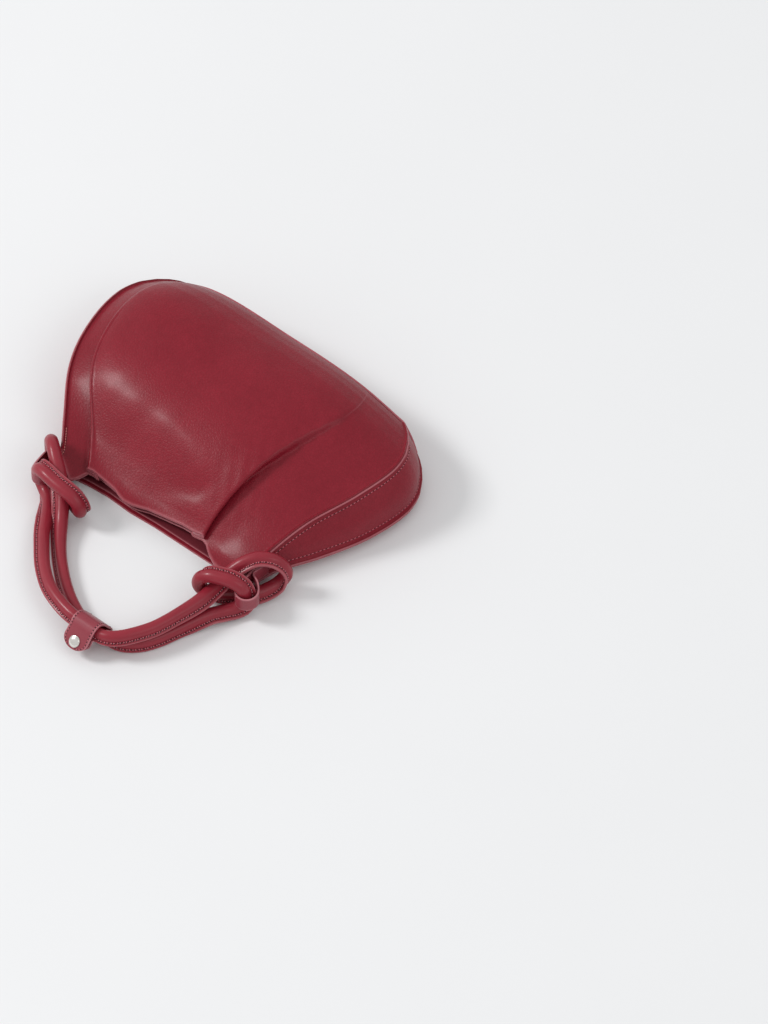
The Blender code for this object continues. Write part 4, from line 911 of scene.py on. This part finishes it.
def stitchRow(name, centres, ways, ups, length, radius, material, lift=0.0, slotName="leather"):
    # A row of small stitches: each a flattened capsule along its way, with a hole at each end painted dark as shade.
    turns = np.linspace(0.0, 2.0 * math.pi, 8, endpoint=False)
    spots = np.array([-0.5, -0.42, -0.25, 0.0, 0.25, 0.42, 0.5])
    fat = np.array([0.25, 0.7, 0.95, 1.0, 0.95, 0.7, 0.25])
    sag = np.array([-0.7, -0.2, 0.1, 0.2, 0.1, -0.2, -0.7])
    side = np.cross(ways, ups)
    ring = (side[:, None, None] * np.cos(turns)[None, None, :, None] * 1.15
            + ups[:, None, None] * np.sin(turns)[None, None, :, None] * 0.85) * radius
    capsules = (centres[:, None, None] + ways[:, None, None] * (spots * length)[None, :, None, None]
                + ups[:, None, None] * (sag * radius + lift)[None, :, None, None] + ring * fat[None, :, None, None])
    n = len(centres)
    caps = np.array([[3, 2, 1, 0], [7, 4, 3, 0], [7, 6, 5, 4], [48, 49, 50, 51], [48, 51, 52, 55], [52, 53, 54, 55]])
    face = np.vstack([ringQuads(7, 8, False), caps])
    allVerts = [capsules.reshape(-1, 3)]
    allFaces = [(face[None] + (np.arange(n) * 56)[:, None, None]).reshape(-1, 4)]
    index = [np.zeros(n * len(face), dtype=int)]
    # Each hole is a low dome painted dark for the shade inside the needle hole, an oval a little wider than the
    # thread.
    rim = np.stack([np.cos(turns), np.sin(turns)], axis=1)
    dome = np.vstack([ringQuads(2, 8, False), [[8, 9, 10, 11], [8, 11, 12, 15], [12, 13, 14, 15]]])
    for end in (-0.5, 0.5):
        middle = centres + ways * (end * length * 1.06)
        levels = [middle[:, None] + (side[:, None] * rim[None, :, :1] * wide + ways[:, None] * rim[None, :, 1:] * tall
                                     + ups[:, None] * up) * radius
                  for wide, tall, up in ((2.1, 1.75, -0.5), (1.7, 1.4, 0.35))]
        start = sum(len(part) for part in allVerts)
        allVerts.append(np.concatenate(levels, axis=1).reshape(-1, 3))
        allFaces.append((dome[None] + (start + np.arange(n) * 16)[:, None, None]).reshape(-1, 4))
        index.append(np.ones(n * len(dome), dtype=int))
    makePiece(name, np.vstack(allVerts), np.vstack(allFaces), [material, holeShadeMaterial], [],
              angle=80.0, index=np.concatenate(index))


# The tube's seam: stitches across the flat layers, on both of their faces.
marks = np.arange(0.0, len(tubeLine) * tubeStep - handle["stitchPitch"], handle["stitchPitch"])
at = np.clip((marks / tubeStep).astype(int), 0, len(tubeLine) - 1)
for label, sign in (("Upper", 1.0), ("Lower", -1.0)):
    offset = edgeWay[at] * handle["stitchAt"] + overWay[at] * sign * handle["stitchOver"]
    spot = tubeLine[at] + offset * (1.0 + fuller[at]) + shift
    way = unit(tangent[at] * 0.86 + edgeWay[at] * 0.5)
    stitchRow("tubeStitches" + label, spot, way, squareTo(way, overWay[at] * sign), 1.45, 0.47, thread,
              lift=0.12, slotName="leather_tube")
print("tube stitches", 2 * len(at))


def alongTrack(line, ups, at, ahead):
    # Stitch places on a line: centres, ways to a point a little ahead, and ups square to the ways.
    distance = lengths(line)
    centres = readAt(at, distance, line)
    ways = unit(readAt(at + ahead, distance, line) - centres)
    return centres, ways, squareTo(ways, readAt(at, distance, ups))


def rowOnGrid(grid, fromEdge, start, stop, pitch):
    # Stitch places on a surface grid, a distance in from its first edge, facing out of the bag.
    line = np.array([resample(row, [fromEdge])[0] for row in grid])
    ups = np.array([readAt([fromEdge], lengths(row), way)[0] for row, way in zip(grid, gridNormals(grid))])
    at = np.arange(start, min(stop, lengths(line)[-1]), pitch)
    centres, ways, ups = alongTrack(line, ups, at, 0.5)
    return centres, ways, ups * np.where((ups * (centres - bodyMiddle)).sum(axis=1) < 0.0, -1.0, 1.0)[:, None]


bodyMiddle = np.array([-20.0, 5.0, 24.0])
for side, label in ((1, "Right"), (-1, "Left")):
    grid = max(sideOuter[side], key=lambda face: abs(face[60, 15, 0] - bodyMiddle[0]))
    for place, turned in (("Top", grid), ("Low", grid[:, ::-1])):
        stitchRow("gussetStitches" + label + place, *rowOnGrid(turned, 5.6, 4.0, 186.0, 3.4), 2.3, 0.27, thread,
                  lift=-0.02)
stitchRow("earStitches", *rowOnGrid(frontOuter, 3.4, 1.0, 26.0, 2.3), 1.7, 0.42, paleThread, lift=0.08)
print("seam stitches")

# The tabs: straps sewn double to the side panels, round the handle's tube. For each side: radius
# of the loop, where the legs end, height of the lower edge, strap width, slant of the legs' stack.
strapThick = 1.4
tabs = {
    1: {"loopRadius": 9.0, "legEnd": 14.0, "low": 13.4, "wide": 13.0, "slant": 1.0},
    -1: {"loopRadius": 6.8, "legEnd": 7.5, "low": 13.0, "wide": 11.5, "slant": 1.5},
}


def gussetFaceX(y, z, side):
    shiftAt = -2.0 if side > 0 else -6.0
    v = max(0.0, y - shiftAt * max(0.0, 1.0 - max(y, 0.0) / body["mouthFade"])**2)
    line = gussetSection(v, side, 12)
    line = line[line[:, 1] > body["backSeamHeight"] + 2.0][::-1]
    reach = np.maximum.accumulate(line[:, 0] * side)
    return np.interp(z, line[:, 1], reach) * side


knotLeft = np.array([-100.0, -7.5])
leftTurn = math.radians(15.0)
leftOut = np.array([-math.cos(leftTurn), -math.sin(leftTurn)])
leftAlong = np.array([-math.sin(leftTurn), math.cos(leftTurn)])


def toLeft(points):
    # Mirrors points at the right side panel and turns them to the left one.
    flat = knotLeft + (points[:, :1] - 92.0) * leftOut + points[:, 1:2] * leftAlong
    return np.hstack([flat, points[:, 2:]])


def makeTab(name, node, side):
    angles = np.radians(np.linspace(180.0, 360.0, 25))
    tab = tabs[side]
    apex = tab["loopRadius"] * np.stack([np.cos(angles), np.sin(angles)], axis=1) + [103.9, -18.9]
    heights = np.linspace(tab["low"], tab["low"] + tab["wide"], 15)
    rows = []
    normals = []
    for z in heights:
        loop = np.hstack([apex, np.full((len(apex), 1), z)])
        if side < 0:
            loop = toLeft(loop)
        ys = np.linspace(tab["legEnd"], 0.0, 9) + (knotLeft[1] if side < 0 else 0.0)
        first = (0.5 * body["leather"] + body["clearance"] + 0.5 * strapThick) * tab["slant"]
        second = first + (strapThick + body["clearance"]) * tab["slant"]
        innerLeg = np.array([[gussetFaceX(y, z, side) + side * first, y] for y in ys])
        outerLeg = np.array([[gussetFaceX(y, z, side) + side * second, y] for y in ys[::-1]])
        t = np.linspace(0.0, 1.0, 8)[1:-1, None]
        lead = innerLeg[-1] * (1.0 - t) + loop[0, :2] * t
        bow = loop[-1, :2] + (loop[-1, :2] - loop[-2, :2]) * 7.0
        tail = loop[-1, :2] * (1.0 - t)**2 + bow * 2.0 * t * (1.0 - t) + outerLeg[0] * t**2
        line = curvePoints(np.vstack([innerLeg[::2], lead[::2], loop[::3, :2], tail[::2], outerLeg[::2]]), 110)
        rows.append(np.hstack([line, np.full((len(line), 1), z)]))
        normals.append(np.hstack([sideNormals(line), np.zeros((len(line), 1))]))
    rows = np.array(rows)
    normals = np.array(normals)
    # The strap's faces bow a little between its painted edges.
    bow = 0.18 * np.sin(np.linspace(0.0, math.pi, 15))[:, None, None]
    outer = rows + normals * (0.5 * strapThick + bow) + shift
    inner = rows - normals * (0.5 * strapThick + bow) + shift
    verts, faces = slab(outer, inner)
    # The strap's edges are lighter: partly wear, partly a painted highlight.
    wearAndHighlight = np.tile((np.exp(-(np.minimum(np.arange(15), 14 - np.arange(15)) / 0.8)**2)[:, None]
                    * np.ones(110)[None, :]).ravel(), 2) * 0.9
    makePiece(name, verts, faces, [strapLeather], [node], {"wearAndHighlight": wearAndHighlight}, bevel=0.28)


makeTab("tabRight", "tab_right", 1)
makeTab("tabLeft", "tab_left", -1)
print("tabs")

# The keeper: a band round both tubes whose ends meet as a round tongue with a press stud.
keeper = {
    "x": 27.0,
    "halfWidth": 11.8,
    "bandOffset": 7.05,  # from the tubes' centres to the middle of the band
    "tongueLength": 21.0,
    "tongueRadius": 9.0,
    "snapAt": 14.5,
    "layerStep": 4.4,
    "stitchMargin": 1.7,
    "stitchPitch": 2.75,
}
lowCentre = np.array([114.4, 8.0])  # centres of the two tubes: distance from the mouth, height
topCentre = np.array([122.8, 19.2])
tongueWay = np.array([0.70, -0.714]) / math.hypot(0.70, 0.714)
tongueUp = np.array([-tongueWay[1], tongueWay[0]])


def arc(centre, start, end, count):
    angles = np.radians(np.linspace(start, end, count))
    return centre + keeper["bandOffset"] * np.stack([np.cos(angles), np.sin(angles)], axis=1)


leave = topCentre + keeper["bandOffset"] * tongueUp
snapAt = keeper["snapAt"]
tongueLength = keeper["tongueLength"]
layerStep = keeper["layerStep"]
topLayer = np.array([leave + tongueWay * s for s in (5.0, 10.0, snapAt, 18.0, tongueLength)])
lowTurn = leave - tongueUp * layerStep + tongueWay * 8.4
lowLayer = np.array([leave - tongueUp * layerStep + tongueWay * s for s in (tongueLength - 0.8, 18.0, snapAt, 11.0)])
upAngle = math.degrees(math.atan2(tongueUp[1], tongueUp[0]))
join = math.degrees(math.atan2(-0.7071, 0.7071))
bandLine = np.vstack([lowLayer, lowTurn[None], lowCentre + (topCentre - lowCentre) * 0.72
                      + keeper["bandOffset"] * np.array([0.7071, -0.7071])[None],
                      arc(lowCentre, join, -225.0, 10), arc(topCentre, 135.0, upAngle, 5), topLayer])
chord = lengths(bandLine)
bandLine = np.stack([curve(np.linspace(0.0, chord[-1], 200), chord, bandLine[:, k]) for k in range(2)], axis=1)
bandNormal = sideNormals(bandLine)
bandAlong = lengths(bandLine)
endDistance = np.minimum(bandAlong, bandAlong[-1] - bandAlong)
roundEnd = (1.0 - np.clip(endDistance / keeper["tongueRadius"], 0.0, 1.0))**2
halfWide = (keeper["halfWidth"] * np.sqrt(np.clip(1.0 - roundEnd * 0.985, 0.0, 1.0))
            - 0.25 * np.exp(-((endDistance - 15.0) / 5.0)**2))
columns = np.linspace(-1.0, 1.0, 25)
bow = 0.12 * (1.0 - np.abs(columns)**6)


def onBand(across, offset):
    # Points of the band's course moved off it by an offset, at a place across the keeper.
    face = bandLine + bandNormal * offset
    return np.stack([keeper["x"] + across, -face[:, 0], face[:, 1]], axis=1)


half = 0.5 * body["leather"]
bandOuter = np.array([onBand(c * halfWide, half + b) + shift for c, b in zip(columns, bow)])
bandInner = np.array([onBand(c * halfWide, -half - b) + shift for c, b in zip(columns, bow)])
verts, faces = slab(bandOuter, bandInner)
# The keeper's edges are lighter: partly wear, partly a painted highlight.
wearAndHighlight = np.tile((np.exp(-((1.0 - np.abs(columns)) * 10.0 / 0.9)**2)[:, None] * np.ones(200)[None, :]).ravel(), 2)
makePiece("keeperBand", verts, faces, [strapLeather], ["handle_keeper"], {"wearAndHighlight": wearAndHighlight * 0.8}, bevel=0.3)

# Edge stitching of the keeper: along both sides, and round the tongue.
bandMiddle = np.array([keeper["x"], -208.9, 12.5])
outside = max((1.0, bandOuter), (-1.0, bandInner), key=lambda face: np.linalg.norm(face[1][12, 120] - bandMiddle))[0]
margin = keeper["stitchMargin"]
keep = np.arange(38, 200 - int(200 * margin / bandAlong[-1]) - 1)
sideHalf = np.maximum(halfWide - margin, 0.0)
path = [onBand(way * sideHalf, (half + 0.1) * outside)[keep] for way in (-1, 1)]
lift = np.stack([np.zeros(200), -bandNormal[:, 0], bandNormal[:, 1]], axis=1)[keep] * outside
track = np.vstack([path[0], path[1][::-1]])
at = np.arange(1.5, lengths(track)[-1] - 1.0, keeper["stitchPitch"])
centres, ways, ups = alongTrack(track, np.vstack([lift, lift[::-1]]), at, 0.6)
stitchRow("keeperStitches", centres + shift, ways, ups, 1.7, 0.29, thread, lift=0.02)

snapTop = leave + tongueWay * snapAt
snapAxis = np.array([0.0, -tongueUp[0], tongueUp[1]])
snapOrigin = np.array([keeper["x"], -snapTop[0], snapTop[1]]) + shift
snapSide = np.array([1.0, 0.0, 0.0])
snapOther = np.cross(snapAxis, snapSide)


def turnedPiece(name, node, profile, closed, sides=64):
    # A turned part about the snap's axis: an outline of (radius, height), closed or ended at the axis.
    profile = np.asarray(profile, float)
    ring = np.arange(sides) * 2.0 * math.pi / sides
    rows = (snapOrigin + profile[:, None, 0:1] * (np.cos(ring)[None, :, None] * snapSide
                                                  + np.sin(ring)[None, :, None] * snapOther)
            + profile[:, None, 1:2] * snapAxis)
    verts = rows.reshape(-1, 3)
    makePiece(name, verts, turnedOut(verts, ringQuads(len(profile), sides, closed)), [nickel], [node],
              angle=32.0)


half = 0.5 * body["leather"] + 0.12
shank = 1.2
hole = 1.5
dome = np.linspace(0.0, 1.0, 14)
capLow = half + 0.1
capProfile = ([(0.02, -half - 0.9), (shank, -half - 0.9), (shank, capLow), (4.5, capLow), (4.9, capLow + 0.12),
               (5.0, capLow + 0.4), (4.9, capLow + 0.66), (4.66, capLow + 0.82), (4.45, capLow + 0.86)]
              + [(4.3 * math.cos(0.5 * math.pi * t) + 0.02, capLow + 0.88 + 1.25 * math.sin(0.5 * math.pi * t))
                 for t in dome])
turnedPiece("snapCap", "snap_cap", capProfile, False)
turnedPiece("snapSocket", "snap_socket", [(hole, -half - 0.1), (4.3, -half - 0.1), (4.5, -half - 0.4),
                                          (4.3, -layerStep + half + 0.35), (2.3, -layerStep + half + 0.35),
                                          (2.3, -half - 0.55), (hole, -half - 0.55)], True)
low = -layerStep
turnedPiece("snapStud", "snap_stud", [(0.02, low - half - 0.9), (shank, low - half - 0.9), (shank, low + half + 0.1),
                                      (3.6, low + half + 0.1), (3.6, low + half + 0.28), (1.7, low + half + 0.3),
                                      (1.9, low + half + 0.75), (1.4, low + half + 1.05),
                                      (0.02, low + half + 1.1)], False)
turnedPiece("snapPost", "snap_post", [(hole, low - half - 0.1), (hole, low - half - 0.7), (3.6, low - half - 0.7),
                                      (4.2, low - half - 0.45), (4.2, low - half - 0.1)], True)
print("keeper and snap")

# Floor, light and camera. The lamps stand to the camera's right, away from it and up, in metres.
studio = {
    "azimuth": 40.248,
    "elevation": 50.311,
    "focal": 8500.0 / 1024.0,  # in picture heights
    "distance": 6.8394,
    "aim": (0.12029, 0.04065, 0.0),
    "around": 0.7,
    "keyBox": {"right": -3.92, "away": 0.62, "up": 3.34, "size": (1.3, 1.3), "watts": 132.0},
    "fillBox": {"right": 2.4, "away": -1.8, "up": 2.6, "size": (2.4, 1.8), "watts": 16.0},
}
floorMesh = bpy.data.meshes.new("floor")
floorMesh.from_pydata([(-4, -4, -0.0003), (4, -4, -0.0003), (4, 4, -0.0003), (-4, 4, -0.0003)], [], [(0, 1, 2, 3)])
floor = bpy.data.objects.new("floor", floorMesh)
bpy.context.scene.collection.objects.link(floor)
floorMesh.materials.append(mottledMaterial(
    "paleFloor", (0.815, 0.822, 0.832), (0.835, 0.842, 0.852), {"Scale": 5.0, "Detail": 3.0},
    {"Roughness": 0.85, "Specular IOR Level": 0.1})[0])

world = bpy.data.worlds.new("studio")
bpy.context.scene.world = world
world.use_nodes = True
world.node_tree.nodes["Background"].inputs["Color"].default_value = (1.0, 1.0, 1.0, 1.0)
world.node_tree.nodes["Background"].inputs["Strength"].default_value = studio["around"]

azimuth = math.radians(studio["azimuth"])
elevation = math.radians(studio["elevation"])
cameraRight = Vector((math.cos(azimuth), math.sin(azimuth), 0.0))
cameraAway = Vector((-math.sin(azimuth), math.cos(azimuth), 0.0))
forward = cameraAway * math.cos(elevation) + Vector((0.0, 0.0, -math.sin(elevation)))
cameraData = bpy.data.cameras.new("camera")
cameraData.sensor_fit = "VERTICAL"
cameraData.sensor_height = 36.0
cameraData.lens = studio["focal"] * cameraData.sensor_height
cameraData.clip_end = 50.0
camera = bpy.data.objects.new("camera", cameraData)
bpy.context.scene.collection.objects.link(camera)
up = cameraRight.cross(forward)
turn = Matrix((cameraRight, up, -forward)).transposed()
camera.matrix_world = Matrix.Translation(Vector(studio["aim"]) - forward * studio["distance"]) @ turn.to_4x4()
bpy.context.scene.camera = camera


def softBox(name):
    # A rectangular lamp from the studio's dictionary, aimed at the handle.
    box = studio[name]
    data = bpy.data.lights.new(name, "AREA")
    data.shape = "RECTANGLE"
    data.size, data.size_y = box["size"]
    data.energy = box["watts"]
    lamp = bpy.data.objects.new(name, data)
    bpy.context.scene.collection.objects.link(lamp)
    way = cameraRight * box["right"] + cameraAway * box["away"] + Vector((0.0, 0.0, box["up"]))
    lamp.location = Vector((0.0, -0.03, 0.02)) + way
    lamp.rotation_euler = (-way).to_track_quat("-Z", "Y").to_euler()


softBox("keyBox")
softBox("fillBox")

bpy.context.scene.view_settings.view_transform = "Standard"
